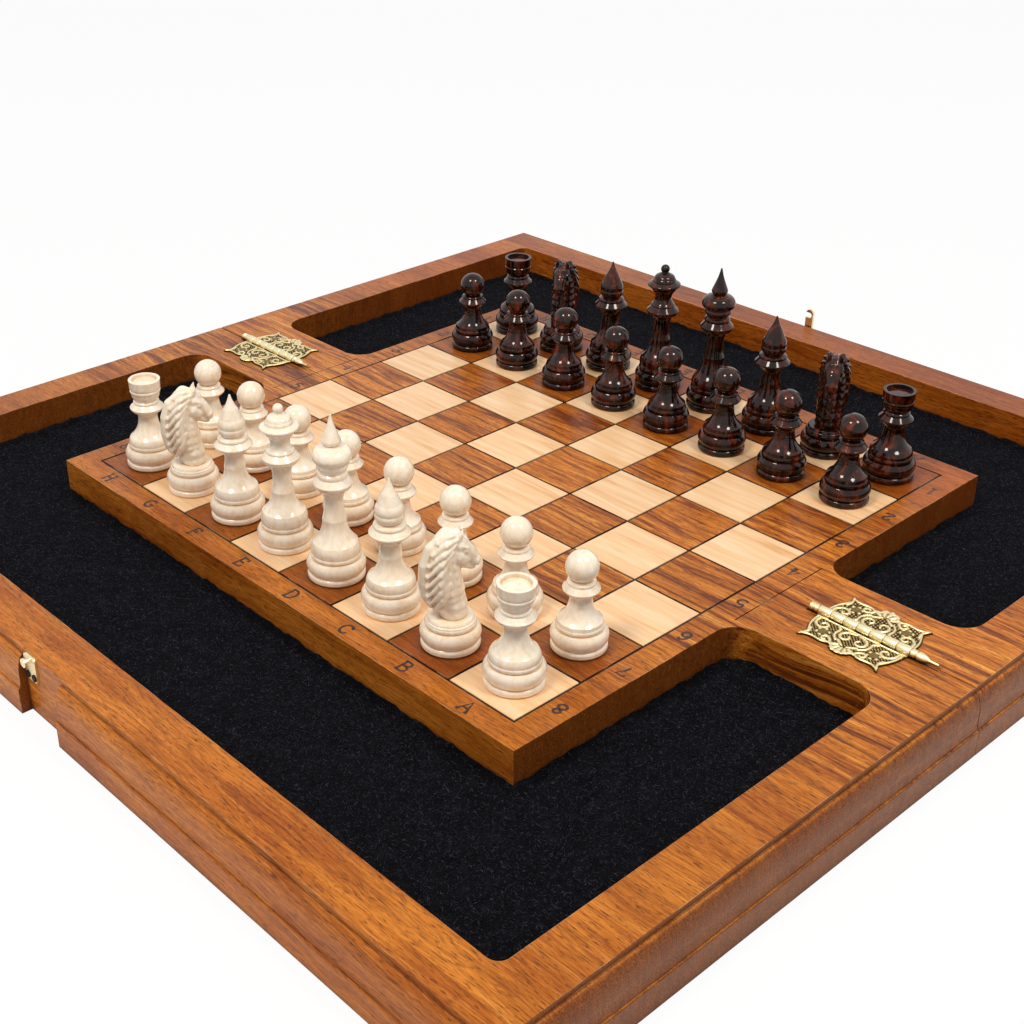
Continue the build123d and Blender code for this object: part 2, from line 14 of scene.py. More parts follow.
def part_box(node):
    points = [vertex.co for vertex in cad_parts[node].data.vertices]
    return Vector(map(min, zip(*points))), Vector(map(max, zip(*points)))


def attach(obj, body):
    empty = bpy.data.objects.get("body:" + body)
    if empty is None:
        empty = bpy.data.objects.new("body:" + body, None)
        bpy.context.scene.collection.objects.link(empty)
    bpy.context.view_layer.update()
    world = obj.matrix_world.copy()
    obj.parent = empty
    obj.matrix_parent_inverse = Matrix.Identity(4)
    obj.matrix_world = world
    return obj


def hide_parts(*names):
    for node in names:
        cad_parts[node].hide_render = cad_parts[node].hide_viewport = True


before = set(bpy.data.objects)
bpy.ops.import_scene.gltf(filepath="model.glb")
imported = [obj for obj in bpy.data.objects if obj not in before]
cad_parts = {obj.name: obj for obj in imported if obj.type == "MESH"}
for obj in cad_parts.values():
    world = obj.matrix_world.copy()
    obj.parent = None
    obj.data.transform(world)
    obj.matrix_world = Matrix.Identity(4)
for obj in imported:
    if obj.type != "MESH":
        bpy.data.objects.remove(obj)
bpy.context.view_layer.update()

bl_info = {
    "name": "Folding Chess Box",
    "version": (1, 0, 0),
    "blender": (4, 5, 0),
    "location": "View3D > Sidebar > Chess Box",
    "description": "Stained wood, felt, cast brass and carved men for a folding chess box",
    "category": "Object",
}

MM = 0.001
SIDES = {"white": -1, "black": 1}  # which side of the fold each half is on
ENDS = {"front": -1, "back": 1}  # which end of the fold each hinge is at
BOARD_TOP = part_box("white_deck")[1].z
FELT_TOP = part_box("white_felt")[1].z
SQUARE = 36.0 * MM
FIELD = 4 * SQUARE  # half the squares' field, along and across the fold
BOARD = FIELD + 12.5 * MM  # half the raised board, with its border
SIGN_LINE = FIELD + 6.4 * MM  # middle line of the letters and numbers
HINGE_Y = 198.0 * MM
SCREW_X, SCREW_Y = 11.6, 11.8  # leaf screws, in mm from the hinge's middle
KNIGHTS = {
    # body: its place in squares, and the way that it faces, in degrees
    "white_knight_b8": (-3.5, -2.5, -28.0), "white_knight_g8": (-3.5, 2.5, -28.0),
    "black_knight_b1": (3.5, -2.5, 208.0), "black_knight_g1": (3.5, 2.5, 208.0),
}


# ---- settings that a user would change ----
def length(name, description, default):
    return bpy.props.FloatProperty(name=name, description=description, default=default,
                                   unit="LENGTH")


def tint(name, description, default):
    return bpy.props.StringProperty(name=name, description=f"{description}, sRGB hex",
                                    default=default)


class ChessBoxSizes(bpy.types.PropertyGroup):
    letter_height: length("Letter height", "Height of the burnt letters and numbers", 6.4 * MM)
    letter_stroke: length("Letter stroke", "Width of a burnt stroke", 1.25 * MM)
    fibre_length: length("Fibre length", "Length of a fibre of the felt's pile", 1.5 * MM)
    fibre_width: length("Fibre width", "Width of a fibre, as coarse as it needs to show",
                        0.14 * MM)
    fibres_per_cm2: bpy.props.FloatProperty(
        name="Fibres per square centimetre", description="How thick the pile is", default=105.0)
    relief: length("Relief", "Height of the cast ornament above the leaf's ground", 0.75 * MM)
    grid: length("Casting grid", "Mesh spacing of the cast ornament", 0.24 * MM)
    lock_grid: length("Carving grid", "Mesh spacing of the carved heads", 0.36 * MM)


class ChessBoxColours(bpy.types.PropertyGroup):
    stain_light: tint("Stain, light", "Early wood of the stained beech", "d8842c")
    stain_mid: tint("Stain, middle", "Body colour of the stained beech", "b4641a")
    stain_dark: tint("Stain, dark", "Streaks of the stained beech", "3d160b")
    maple: tint("Maple", "Light squares", "f3cb9c")
    boxwood: tint("Boxwood", "White men", "f7ead4")
    ebonised: tint("Ebonised wood", "Black men", "220b06")
    felt: tint("Felt", "Black felt", "08080b")
    felt_dark: tint("Felt, fibres", "Most of the fibres in the pile", "1a1b22")
    felt_pale: tint("Felt, pale fibres", "Paler fibres in the pile", "4a4d59")
    brass: tint("Brass", "Antiqued brass where it is rubbed", "d9c48e")
    patina: tint("Patina", "Dark patina in the brass's hollows", "1f160b")


def sizes():
    return bpy.context.scene.chess_box_sizes


def colours():
    return bpy.context.scene.chess_box_colours


# ---- materials ----
VECTOR, MIX, NOISE, WHITE_NOISE, RAMP, RANGE, MAPPING, BUMP, BEVEL, CREASE, SHADER, SURFACE = (
    "ShaderNode" + kind for kind in (
        "VectorMath", "Mix", "TexNoise", "TexWhiteNoise", "ValToRGB", "MapRange", "Mapping",
        "Bump", "Bevel", "AmbientOcclusion", "BsdfPrincipled", "OutputMaterial"))
SPLIT, JOIN, PLACE, FACE, HUE, MERGE, RAYS = (
    "ShaderNode" + kind for kind in (
        "SeparateXYZ", "CombineXYZ", "TexCoord", "NewGeometry", "HueSaturation", "MixShader",
        "LightPath"))
COLOUR = {"data_type": "RGBA", "out": 2}  # what makes a Mix node mix colours


def linear(colour):
    """Linear RGBA of an sRGB hex colour, or a grey of the given linear value."""
    if not isinstance(colour, str):
        return (colour, colour, colour, 1.0)
    parts = [int(colour[i:i + 2], 16) / 255 for i in (0, 2, 4)]
    return (*(c / 12.92 if c <= 0.04045 else ((c + 0.055) / 1.055) ** 2.4 for c in parts), 1.0)


def add(tree, kind, *values, out=0, stops=(), **settings):
    """Add a node, and return one of its outputs, or the whole node where out is None.

    A kind in capitals is an operation of the Math node. Values fill the sockets in order. A
    setting that starts with a capital is a socket's name or identifier, and any other is a
    property. A value that is a socket is linked. Stops are a colour ramp's places and colours.
    """
    if kind.isupper():
        kind, settings["operation"] = "ShaderNodeMath", kind
    node = tree.nodes.new(kind)
    sockets = list(zip(node.inputs, values))
    for key, value in settings.items():
        if key[0].islower():
            setattr(node, key, value)
        else:
            sockets.append((next(s for s in node.inputs
                                 if key in (s.name.replace(" ", "_"), s.identifier)), value))
    for socket, value in sockets:
        if isinstance(value, bpy.types.NodeSocket):
            tree.links.new(value, socket)
        else:
            socket.default_value = value
    if stops:
        elements = node.color_ramp.elements
        while len(elements) < len(stops):
            elements.new(0.5)
        for element, (position, colour) in zip(elements, stops):
            element.position = position
            element.color = linear(colour)
    return node if out is None else node.outputs[out]


def new_material(name):
    """Material, its empty tree, and the place on the object that its patterns read."""
    material = bpy.data.materials.new(name)
    material.use_nodes = True
    tree = material.node_tree
    tree.nodes.clear()
    return material, tree, add(tree, PLACE, out="Object")


def finish(material, **sockets):
    """End a material with its shader, and return it."""
    shader = add(material.node_tree, SHADER, **sockets)
    add(material.node_tree, SURFACE, shader, out=None)
    return material


def per(*lengths):
    """Scale at which one unit of a pattern is this many mm along each axis."""
    return tuple(1 / (length_mm * MM) for length_mm in lengths)


def stain(tree, colour, *coats):
    """Lay coats over a colour. A coat is a pattern, its strength and its colour, and then the
    stops of the ramp that the pattern goes through, if any."""
    for pattern, strength, coat, *stops in coats:
        if stops:
            pattern = add(tree, RAMP, pattern, stops=stops)
        share = add(tree, "MULTIPLY", pattern, strength)
        coat = linear(coat) if isinstance(coat, str) else coat
        colour = add(tree, MIX, share, A_Color=colour, B_Color=coat, **COLOUR)
    return colour


def random_per_square(tree, place):
    """Random number and random colour that each square of the board has for itself."""
    cell = add(tree, VECTOR, place, (SQUARE,) * 3, operation="DIVIDE")
    cell = add(tree, VECTOR, cell, operation="FLOOR")
    return add(tree, WHITE_NOISE, cell, noise_dimensions="2D", out=None).outputs


def stained_beech(name, board=True):
    """Lacquered solid beech under a brown stain: early wood takes it orange, the growth rings
    nearly purple, with short dark flecks along the grain. The lacquer gives soft mirror gloss."""
    material, tree, place = new_material(name)
    c = colours()
    x, y, z = add(tree, SPLIT, place, out=None).outputs
    from_fold, from_middle = add(tree, "ABSOLUTE", x), add(tree, "ABSOLUTE", y)
    # the staves of the glued panel are 60 mm wide, and each has its own tone and figure
    stave = add(tree, "FLOOR", add(tree, "DIVIDE", add(tree, "ADD", x, 6 * MM), 60 * MM))
    tone = add(tree, WHITE_NOISE, W=stave, noise_dimensions="1D")
    shift = add(tree, JOIN, *(add(tree, "MULTIPLY", stave, step) for step in (3.7, 1.3)))
    moved = add(tree, VECTOR, place, shift)
    # the rings wander slowly along the grain
    wander = add(tree, NOISE, add(tree, MAPPING, moved, Scale=per(30, 75, 30)), out="Color",
                 Scale=1.0, Detail=2.0, Roughness=0.5)
    bent = add(tree, VECTOR, moved, add(tree, VECTOR, wander, Scale=11 * MM, operation="SCALE"))
    rings, fine, flecks, clouds, pores, saw = (
        add(tree, NOISE, add(tree, MAPPING, at, Scale=per(*size)), Scale=1.0, Detail=detail,
            Roughness=roughness, Distortion=distortion)
        for at, size, detail, roughness, distortion in (
            (bent, (3.4, 105, 3.4), 4.0, 0.66, 0.35),  # growth rings, about 3 mm apart
            (bent, (0.7, 18, 0.7), 3.0, 0.75, 0.0),  # finer grain between them
            (moved, (0.45, 4.0, 0.45), 2.0, 0.60, 0.0),  # dark flecks, 4 mm long
            (moved, (30, 90, 30), 3.0, 0.50, 0.0),  # slow change of tone along a stave
            (place, (0.5, 1.2, 0.5), 3.0, 0.70, 0.0),  # pores of the end grain
            (bent, (0.8, 20, 9), 2.0, 0.60, 0.0)))  # saw marks across the end grain
    # figure is strong on the staves beside the fold and calm towards the rails
    fade = add(tree, "DIVIDE", add(tree, "SUBTRACT", from_fold, 58 * MM), 50 * MM)
    strong = add(tree, "SUBTRACT", 1.0, add(tree, "SMOOTH_MAX", fade, 0.0, 0.05), use_clamp=True)
    figure = add(tree, "MULTIPLY_ADD", strong, 0.62, 0.22)
    body = add(tree, RAMP, rings, stops=[
        (0.33, c.stain_dark), (0.41, "713210"), (0.47, c.stain_mid), (0.58, c.stain_light),
        (0.72, "eeb058")])
    calm = add(tree, RAMP, clouds, stops=[
        (0.28, "97490f"), (0.46, c.stain_mid), (0.66, c.stain_light)])
    colour = stain(
        tree, calm, (figure, 1.0, body),
        (fine, 0.50, "5c2607", (0.36, 1.0), (0.56, 0.0)),
        (fine, 0.40, "e09a50", (0.56, 0.0), (0.72, 1.0)),
        (flecks, 0.70, "3c1608", (0.34, 1.0), (0.44, 0.0)))
    # end grain, on faces across Y, drinks the stain: dark brown with pores and fine saw marks
    facing = add(tree, "ABSOLUTE", add(tree, SPLIT, add(tree, FACE, out="Normal"), out="Y"))
    across = add(tree, RANGE, facing, 0.45, 0.9, interpolation_type="SMOOTHSTEP")
    end_grain = add(tree, RAMP, pores, stops=[
        (0.34, "3a190a"), (0.50, "70380f"), (0.70, "a5602a")])
    end_grain = stain(tree, end_grain, (saw, 0.45, "42200f", (0.40, 1.0), (0.55, 0.0)))
    colour = stain(tree, colour, (across, 0.85, end_grain))
    if board:
        # the squares under the men are redder and darker than the rails
        inside = add(tree, "MULTIPLY", *(
            add(tree, "LESS_THAN", off, FIELD + 0.55 * MM) for off in (from_fold, from_middle)))
        tones = random_per_square(tree, place)["Value"]
        red = stain(tree, colour, (0.40, 1.0, "6a2508"), (tones, 0.40, "8f3f14"))
        away = add(tree, "MULTIPLY_ADD", add(tree, "SUBTRACT", 1.0, strong), 0.75, 0.10)
        # burnt bottoms of the engraved lines, and of the line scored across each hinge land
        low = add(tree, "COMPARE", z, BOARD_TOP - 0.30 * MM, 0.18 * MM)
        scored = add(tree, "MULTIPLY", add(tree, "LESS_THAN", from_fold, 30.1 * MM),
                     add(tree, "COMPARE", from_middle, BOARD, 0.35 * MM))
        colour = stain(tree, colour, (inside, away, red),
                       (low, add(tree, "MAXIMUM", inside, scored), "210d06"))
    colour = add(tree, HUE, Value=add(tree, "MULTIPLY_ADD", tone, 0.22, 0.90), Color=colour)
    # black's half took the stain redder and darker
    redder = add(tree, "MULTIPLY", add(tree, RANGE, x, 20 * MM, 150 * MM), 0.85)
    colour = add(tree, MIX, redder, A_Color=colour, B_Color=linear("e6cfc4"),
                 blend_type="MULTIPLY", **COLOUR)
    # edges are eased by hand, and the stain is rubbed thin on them in places
    eased = add(tree, BEVEL, 0.5 * MM, samples=4)
    flat = add(tree, VECTOR, eased, add(tree, FACE, out="True Normal"), out="Value",
               operation="DOT_PRODUCT")
    patches = add(tree, NOISE, place, Scale=1 / (12 * MM), Detail=3.0)
    worn = add(tree, "MULTIPLY", add(tree, RANGE, flat, 0.985, 0.86),
               add(tree, RANGE, patches, 0.46, 0.62))
    # painted shade: ambient occlusion darkens the wood in the creases and round whatever is
    # screwed down
    painted_crease_shade = add(tree, CREASE, Distance=3.5 * MM, samples=6, out="AO")
    colour = stain(tree, colour, (worn, 0.75, "e8b98a"),
                   (painted_crease_shade, 0.72, "1e0b05", (0.30, 1.0), (0.88, 0.0)))
    # the pores leave a faint relief under the lacquer
    pitted = add(tree, BUMP, Height=flecks, Normal=eased, Strength=0.35, Distance=0.10 * MM)
    return finish(
        material, Base_Color=colour, Roughness=add(tree, "MULTIPLY_ADD", fine, 0.16, 0.26),
        Specular_IOR_Level=0.16, Coat_Weight=0.06, Coat_Roughness=0.10, Normal=pitted,
        Coat_Normal=eased)


def maple_square():
    """Maple veneer squares under satin lacquer: nearly white wood with faint tan streaks."""
    material, tree, place = new_material("satin maple")
    # each square is cut from another place of the board
    tone, shift = random_per_square(tree, place)
    moved = add(tree, VECTOR, place, shift)
    streaks = add(tree, NOISE, add(tree, MAPPING, moved, Scale=per(4, 60, 4)), Scale=1.0,
                  Detail=4.0, Roughness=0.62, Distortion=0.5)
    fine = add(tree, NOISE, add(tree, MAPPING, moved, Scale=per(0.6, 12, 0.6)), Scale=1.0,
               Detail=2.0)
    colour = add(tree, RAMP, streaks, stops=[
        (0.25, "d89c5f"), (0.40, "ecbd8a"), (0.54, colours().maple), (0.80, "fae0bd")])
    colour = add(tree, HUE, Value=add(tree, "MULTIPLY_ADD", tone, 0.10, 0.94),
                 Color=stain(tree, colour, (fine, 0.18, "d9a878")))
    return finish(
        material, Base_Color=colour, Roughness=0.32, Specular_IOR_Level=0.35, Coat_Weight=0.10,
        Coat_Roughness=0.15, Normal=add(tree, BEVEL, 0.15 * MM, samples=4))


def turned_boxwood():
    """Boxwood turned and dipped in clear gloss: cream, with warm tan growth rings and a wet
    highlight. A little subsurface softens the thin collars."""
    material, tree, place = new_material("glossy boxwood")
    lines = add(tree, NOISE, add(tree, MAPPING, place, Scale=per(4, 4, 7.5)), Scale=1.0,
                Detail=4.0, Roughness=0.55, Distortion=1.0)
    fine = add(tree, NOISE, add(tree, MAPPING, place, Scale=per(0.7, 0.7, 3)), Scale=1.0,
               Detail=2.0)
    colour = add(tree, RAMP, lines, stops=[
        (0.24, "ebd2ac"), (0.40, "f1dfc4"), (0.56, colours().boxwood), (0.80, "f9efe1")])
    # painted shade: ambient occlusion darkens the turned hollows to honey
    painted_hollow_shade = add(tree, CREASE, Distance=5 * MM, samples=6, out="AO")
    colour = stain(tree, colour, (fine, 0.10, "d9b98c", (0.35, 1.0), (0.50, 0.0)),
                   (painted_hollow_shade, 0.62, "d9a468", (0.25, 1.0), (0.75, 0.0)))
    return finish(
        material, Base_Color=colour, Roughness=0.22, Coat_Weight=0.6, Coat_Roughness=0.06,
        Subsurface_Weight=0.12, Subsurface_Radius=(1.0, 0.6, 0.35), Subsurface_Scale=1.2 * MM)


def ebonised_wood():
    """Beech turned, stained nearly black and dipped in gloss: brown-black, with red brown
    where the stain is thin and sharp white highlights."""
    material, tree, place = new_material("glossy ebonised beech")
    lines = add(tree, NOISE, add(tree, MAPPING, place, Scale=per(4.2, 4.2, 10)), Scale=1.0,
                Detail=4.0, Roughness=0.5, Distortion=0.9)
    colour = add(tree, RAMP, lines, stops=[
        (0.36, "070303"), (0.50, colours().ebonised), (0.60, "431609"), (0.76, "7a3512")])
    return finish(
        material, Base_Color=colour, Roughness=0.12, Specular_IOR_Level=0.22, Coat_Weight=0.24,
        Coat_Tint=linear("ffe9dc"), Coat_Roughness=0.04)


def antique_brass(name, low, high):
    """Cast brass dipped in black patina and rubbed back: pale gold on what stands up, between
    heights low and high, and nearly black in the hollows."""
    material, tree, place = new_material(name)
    c = colours()
    blotches = add(tree, NOISE, place, Scale=1 / (1.6 * MM), Detail=3.0)
    uneven = add(tree, "MULTIPLY", add(tree, "SUBTRACT", blotches, 0.5), 0.25 * MM)
    height = add(tree, "ADD", add(tree, SPLIT, place, out="Z"), uneven)
    rubbed = add(tree, RANGE, height, low, high)
    colour = add(tree, RAMP, rubbed, stops=[
        (0.0, c.patina), (0.30, "6a5228"), (0.62, c.brass), (1.0, "efe0b4")])
    grit = add(tree, NOISE, place, Scale=1 / (0.35 * MM), Detail=2.0)
    return finish(
        material, Base_Color=colour, Metallic=1.0,
        Roughness=add(tree, "MULTIPLY_ADD", rubbed, -0.22, 0.52),
        Normal=add(tree, BUMP, Height=grit, Strength=0.25, Distance=0.06 * MM))


def black_felt():
    """Needled wool felt dyed black: no gloss, a soft sheen from the fibre ends."""
    material, tree, place = new_material("black wool felt")
    clumps = add(tree, NOISE, place, Scale=1 / (7 * MM), Detail=4.0, Roughness=0.65)
    wool = add(tree, NOISE, place, Scale=1 / (0.9 * MM), Detail=3.0, Roughness=0.7)
    mixed = add(tree, "MULTIPLY_ADD", clumps, 0.45, add(tree, "MULTIPLY", wool, 0.55))
    colour = add(tree, RAMP, mixed, stops=[
        (0.38, "020203"), (0.54, colours().felt), (0.70, "202129")])
    nap = add(tree, NOISE, place, Scale=1 / (0.7 * MM), Detail=3.0)
    return finish(
        material, Base_Color=colour, Roughness=0.95, Specular_IOR_Level=0.05,
        Sheen_Weight=0.04, Sheen_Roughness=0.5, Sheen_Tint=linear("8a8fa8"),
        Normal=add(tree, BUMP, Height=nap, Strength=0.8, Distance=0.5 * MM))


def wool_fibre(name, colour):
    """Single wool fibres of the pile: matt, a little varied from tuft to tuft."""
    material, tree, place = new_material(name)
    colour = add(tree, RAMP, add(tree, NOISE, place, Scale=1 / (2 * MM)), stops=[
        (0.35, "08080a"), (0.60, colour)])
    return finish(material, Base_Color=colour, Roughness=0.8, Specular_IOR_Level=0.15)


def burnt_wood():
    """Pyrography: charred wood under the lacquer, nearly black with a brown rim."""
    material, tree, place = new_material("burnt beech")
    colour = add(tree, RAMP, add(tree, NOISE, place, Scale=1 / (0.8 * MM), Detail=2.0), stops=[
        (0.35, "170a06"), (0.70, "4a2414")])
    return finish(material, Base_Color=colour, Roughness=0.45)


def studio_sweep():
    """Painted white sweep: it shows as white to the camera and still takes the shadow."""
    material, tree, place = new_material("white studio sweep")
    mottle = add(tree, NOISE, place, Scale=3.0, Detail=2.0)
    colour = stain(tree, linear("f6f6f6"), (mottle, 0.3, "f1f1f1"))
    paint = add(tree, SHADER, Base_Color=colour, Roughness=0.9)
    glow = add(tree, "ShaderNodeEmission", linear(1.0), 1.0)
    seen = add(tree, "MULTIPLY", add(tree, RAYS, out="Is Camera Ray"), 0.92)
    add(tree, SURFACE, add(tree, MERGE, seen, paint, glow), out=None)
    return material


def dress(node, material):
    """Give a CAD node or a piece one material all over."""
    materials = (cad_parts[node] if isinstance(node, str) else node).data.materials
    materials.clear()
    materials.append(material)


# ---- meshes ----
def put(name, data):
    """New object at the origin, in the scene."""
    piece = bpy.data.objects.new(name, data)
    bpy.context.scene.collection.objects.link(piece)
    return piece


def new_piece(name, vertices, faces, material=None, smooth=True):
    mesh = bpy.data.meshes.new(name)
    mesh.from_pydata([tuple(v) for v in vertices], [], [tuple(f) for f in faces])
    if material:
        mesh.materials.append(material)
    mesh.polygons.foreach_set("use_smooth", [smooth] * len(mesh.polygons))
    mesh.update()
    return put(name, mesh)


def bake(piece):
    """Replace a piece by the plain mesh that its modifiers or its curve's bevel make."""
    bpy.context.view_layer.update()
    evaluated = piece.evaluated_get(bpy.context.evaluated_depsgraph_get())
    mesh = bpy.data.meshes.new_from_object(evaluated)
    mesh.name = name = piece.name
    bpy.data.objects.remove(piece)
    return put(name, mesh)


def smooth_line(points, steps=8):
    """Catmull-Rom line through points, as an (n, 2) array."""
    p = np.array(points, float)
    ring = np.vstack([2 * p[0] - p[1], p, 2 * p[-1] - p[-2]])
    out = []
    for i in range(1, len(ring) - 2):
        a, b, c, d = ring[i - 1:i + 3]
        for t in np.linspace(0, 1, steps, endpoint=False):
            out.append(0.5 * (2 * b + (c - a) * t + (2 * a - 5 * b + 4 * c - d) * t**2
                              + (3 * b - a - 3 * c + d) * t**3))
    out.append(p[-1])
    return np.array(out)


def nearest_on_line(xy, line, closed=True):
    """Distance of each point to a line, how far along it that is, from 0 to 1, and where."""
    ends = np.vstack([line, line[:1]]) if closed else line
    best, along = np.full(len(xy), np.inf), np.zeros(len(xy))
    spot = xy.copy()
    for i, (a, b) in enumerate(zip(ends[:-1], ends[1:])):
        t = np.clip((xy - a) @ (b - a) / (((b - a) ** 2).sum() + 1e-18), 0, 1)
        at = a + t[:, None] * (b - a)
        distance = np.hypot(*(xy - at).T)
        near = distance < best
        best[near], spot[near] = distance[near], at[near]
        along[near] = (i + t[near]) / (len(ends) - 1)
    return best, along, spot


def is_inside(xy, line):
    x, y = xy.T
    inside = np.zeros(len(xy), bool)
    for (x0, y0), (x1, y1) in zip(np.roll(line, 1, axis=0), line):
        crosses = (y1 > y) != (y0 > y)
        inside ^= crosses & (x < (x0 - x1) * (y - y1) / (y0 - y1 + 1e-18) + x1)
    return inside


def relief_plate(outline, spacing, height, floor):
    """Closed plate: a grid cut to the outline, its top raised to height(xy), its back at floor."""
    low, high = outline.min(0) - spacing, outline.max(0) + spacing
    gx, gy = np.meshgrid(*(np.arange(a, b + spacing, spacing) for a, b in zip(low, high)),
                         indexing="ij")
    xy = np.column_stack([gx.ravel(), gy.ravel()])
    inside = is_inside(xy, outline)
    index = np.arange(len(xy)).reshape(gx.shape)
    quads = np.stack([index[:-1, :-1], index[1:, :-1], index[1:, 1:], index[:-1, 1:]], -1)
    quads = quads.reshape(-1, 4)
    quads = quads[inside[quads].sum(1) >= 2]
    used, quads = np.unique(quads, return_inverse=True)
    quads = quads.reshape(-1, 4)
    flat, out = xy[used], ~inside[used]
    flat[out] = nearest_on_line(flat[out], outline)[2]
    n = len(flat)
    edges = dict.fromkeys((a, b) for q in quads for a, b in zip(q, np.roll(q, -1)))
    faces = [tuple(q) for q in quads] + [tuple(q[::-1] + n) for q in quads]
    faces += [(b, a, a + n, b + n) for a, b in edges if (b, a) not in edges]
    return np.vstack([np.column_stack([flat, height(flat)]),
                      np.column_stack([flat, np.full(n, floor)])]), faces


def lathe(profile, segments):
    """Closed turned solid about local Z from (radius, height) points that start and end on it."""
    inner = profile[1:-1]
    vertices = [(0.0, 0.0, profile[0][1])]
    for r, z in inner:
        vertices += [(r * math.cos(a), r * math.sin(a), z)
                     for a in np.linspace(0, 2 * math.pi, segments, endpoint=False)]
    vertices.append((0.0, 0.0, profile[-1][1]))
    last = len(vertices) - 1
    top = last - segments
    faces = []
    for j in range(segments):
        k = (j + 1) % segments
        faces += [(0, 1 + k, 1 + j), (top + j, top + k, last)]
        faces += [(a + j, a + k, a + segments + k, a + segments + j)
                  for a in range(1, top, segments)]
    return np.array(vertices), faces


def join_meshes(parts):
    """One (vertices, faces) of several."""
    faces, offset = [], 0
    for vertices, part_faces in parts:
        faces += [tuple(int(i) + offset for i in face) for face in part_faces]
        offset += len(vertices)
    return np.vstack([vertices for vertices, _ in parts]), faces


def grow(piece, tree, ids, values):
    """Run a Geometry Nodes tree on a piece with these inputs, and make the result plain."""
    modifier = piece.modifiers.new("Nodes", "NODES")
    modifier.node_group = tree
    for label, value in values.items():
        modifier[ids[label]] = value
    return bake(piece)


def new_tree(name, **inputs):
    """Geometry Nodes tree with named inputs, given by socket type: tree, identifiers, inputs."""
    tree = bpy.data.node_groups.new(name, "GeometryNodeTree")
    ids = {}
    for label, (kind, value) in {"Geometry": ("Geometry", None), **inputs}.items():
        socket = tree.interface.new_socket(label.replace("_", " "), in_out="INPUT",
                                           socket_type=f"NodeSocket{kind}")
        ids[socket.name] = socket.identifier
        if value is not None:
            socket.default_value = value
    tree.interface.new_socket("Geometry", in_out="OUTPUT", socket_type="NodeSocketGeometry")
    return tree, ids, add(tree, "NodeGroupInput", out=None).outputs


def set_on_points(tree, material, points, shape, turn, size):
    """End a tree: the shape on every point, made real, in one material."""
    placed = add(tree, "GeometryNodeInstanceOnPoints", points, Instance=shape, Rotation=turn,
                 Scale=size)
    real = add(tree, "GeometryNodeRealizeInstances", placed)
    finished = add(tree, "GeometryNodeSetMaterial", real, Material=material)
    add(tree, "NodeGroupOutput", finished, out=None)


# ---- burnt letters and numbers ----
STEM, RUNG, TICK = [(12, 0), (12, 100)], [(12, 52), (48, 52)], [(48, 62), (48, 42)]
ARM = [(0, 100), (64, 100), (64, 80)]
GLYPHS = {
    # strokes of each sign, in hundredths of its height from its foot on the left
    "A": [[(2, 0), (38, 100), (74, 0)], [(17, 36), (60, 36)], [(-10, 0), (16, 0)],
          [(60, 0), (86, 0)]],
    "B": [STEM, [(0, 100), (44, 100), (62, 89), (62, 66), (44, 54), (12, 54)],
          [(44, 54), (70, 41), (70, 13), (46, 0), (0, 0)]],
    "C": [[(70, 80), (52, 97), (28, 95), (8, 74), (3, 48), (10, 20), (30, 3), (54, 3), (73, 20)],
          [(71, 70), (71, 98)]],
    "D": [STEM, [(0, 100), (42, 100), (66, 80), (73, 50), (66, 20), (42, 0), (0, 0)]],
    "E": [STEM, ARM, RUNG, TICK, [(0, 0), (68, 0), (68, 22)]],
    "F": [STEM, ARM, RUNG, TICK, [(0, 0), (28, 0)]],
    "G": [[(68, 80), (50, 97), (28, 95), (8, 74), (3, 48), (10, 20), (30, 3), (52, 3), (68, 12),
           (68, 42)], [(50, 42), (82, 42)]],
    "H": [STEM, [(66, 0), (66, 100)], [(12, 52), (66, 52)], [(0, 0), (25, 0)],
          [(53, 0), (78, 0)], [(0, 100), (25, 100)], [(53, 100), (78, 100)]],
    "1": [[(12, 80), (36, 100), (36, 0)], [(12, 0), (60, 0)]],
    "2": [[(8, 76), (20, 95), (44, 97), (60, 80), (54, 58), (7, 4), (66, 2), (66, 18)]],
    "3": [[(8, 82), (24, 98), (48, 96), (59, 76), (46, 56), (28, 53)],
          [(46, 54), (65, 40), (63, 14), (42, 1), (20, 3), (5, 18)]],
    "4": [[(50, 0), (50, 100), (4, 30), (72, 30)], [(34, 0), (66, 0)]],
    "5": [[(60, 98), (15, 98), (11, 56), (34, 62), (57, 52), (65, 30), (52, 7), (30, 0), (6, 12)]],
    "6": [[(56, 88), (38, 99), (18, 84), (6, 50), (10, 16), (32, 0), (55, 8), (63, 30), (52, 52),
           (32, 58), (10, 42)]],
    "7": [[(6, 80), (6, 98), (64, 98), (34, 42), (28, 0)]],
    "8": [[(34, 54), (14, 66), (13, 86), (34, 99), (55, 86), (54, 66), (34, 54), (10, 38),
           (8, 14), (34, 0), (60, 14), (58, 38), (34, 54)]],
}


def signs_of(half):
    """(sign, x, y, turn) of every letter and number on one half: a sign on a player's own
    border and on the border at the player's left stands upright for that player."""
    side = SIDES[half]
    signs = [(letter, side * SIGN_LINE, (i - 3.5) * SQUARE, side * 90)
             for i, letter in enumerate("ABCDEFGH")]
    for rank in range(1, 9):
        x = (4.5 - rank) * SQUARE
        if x * side > 0:
            signs += [(str(rank), x, -SIGN_LINE, 90), (str(rank), x, SIGN_LINE, -90)]
    return signs


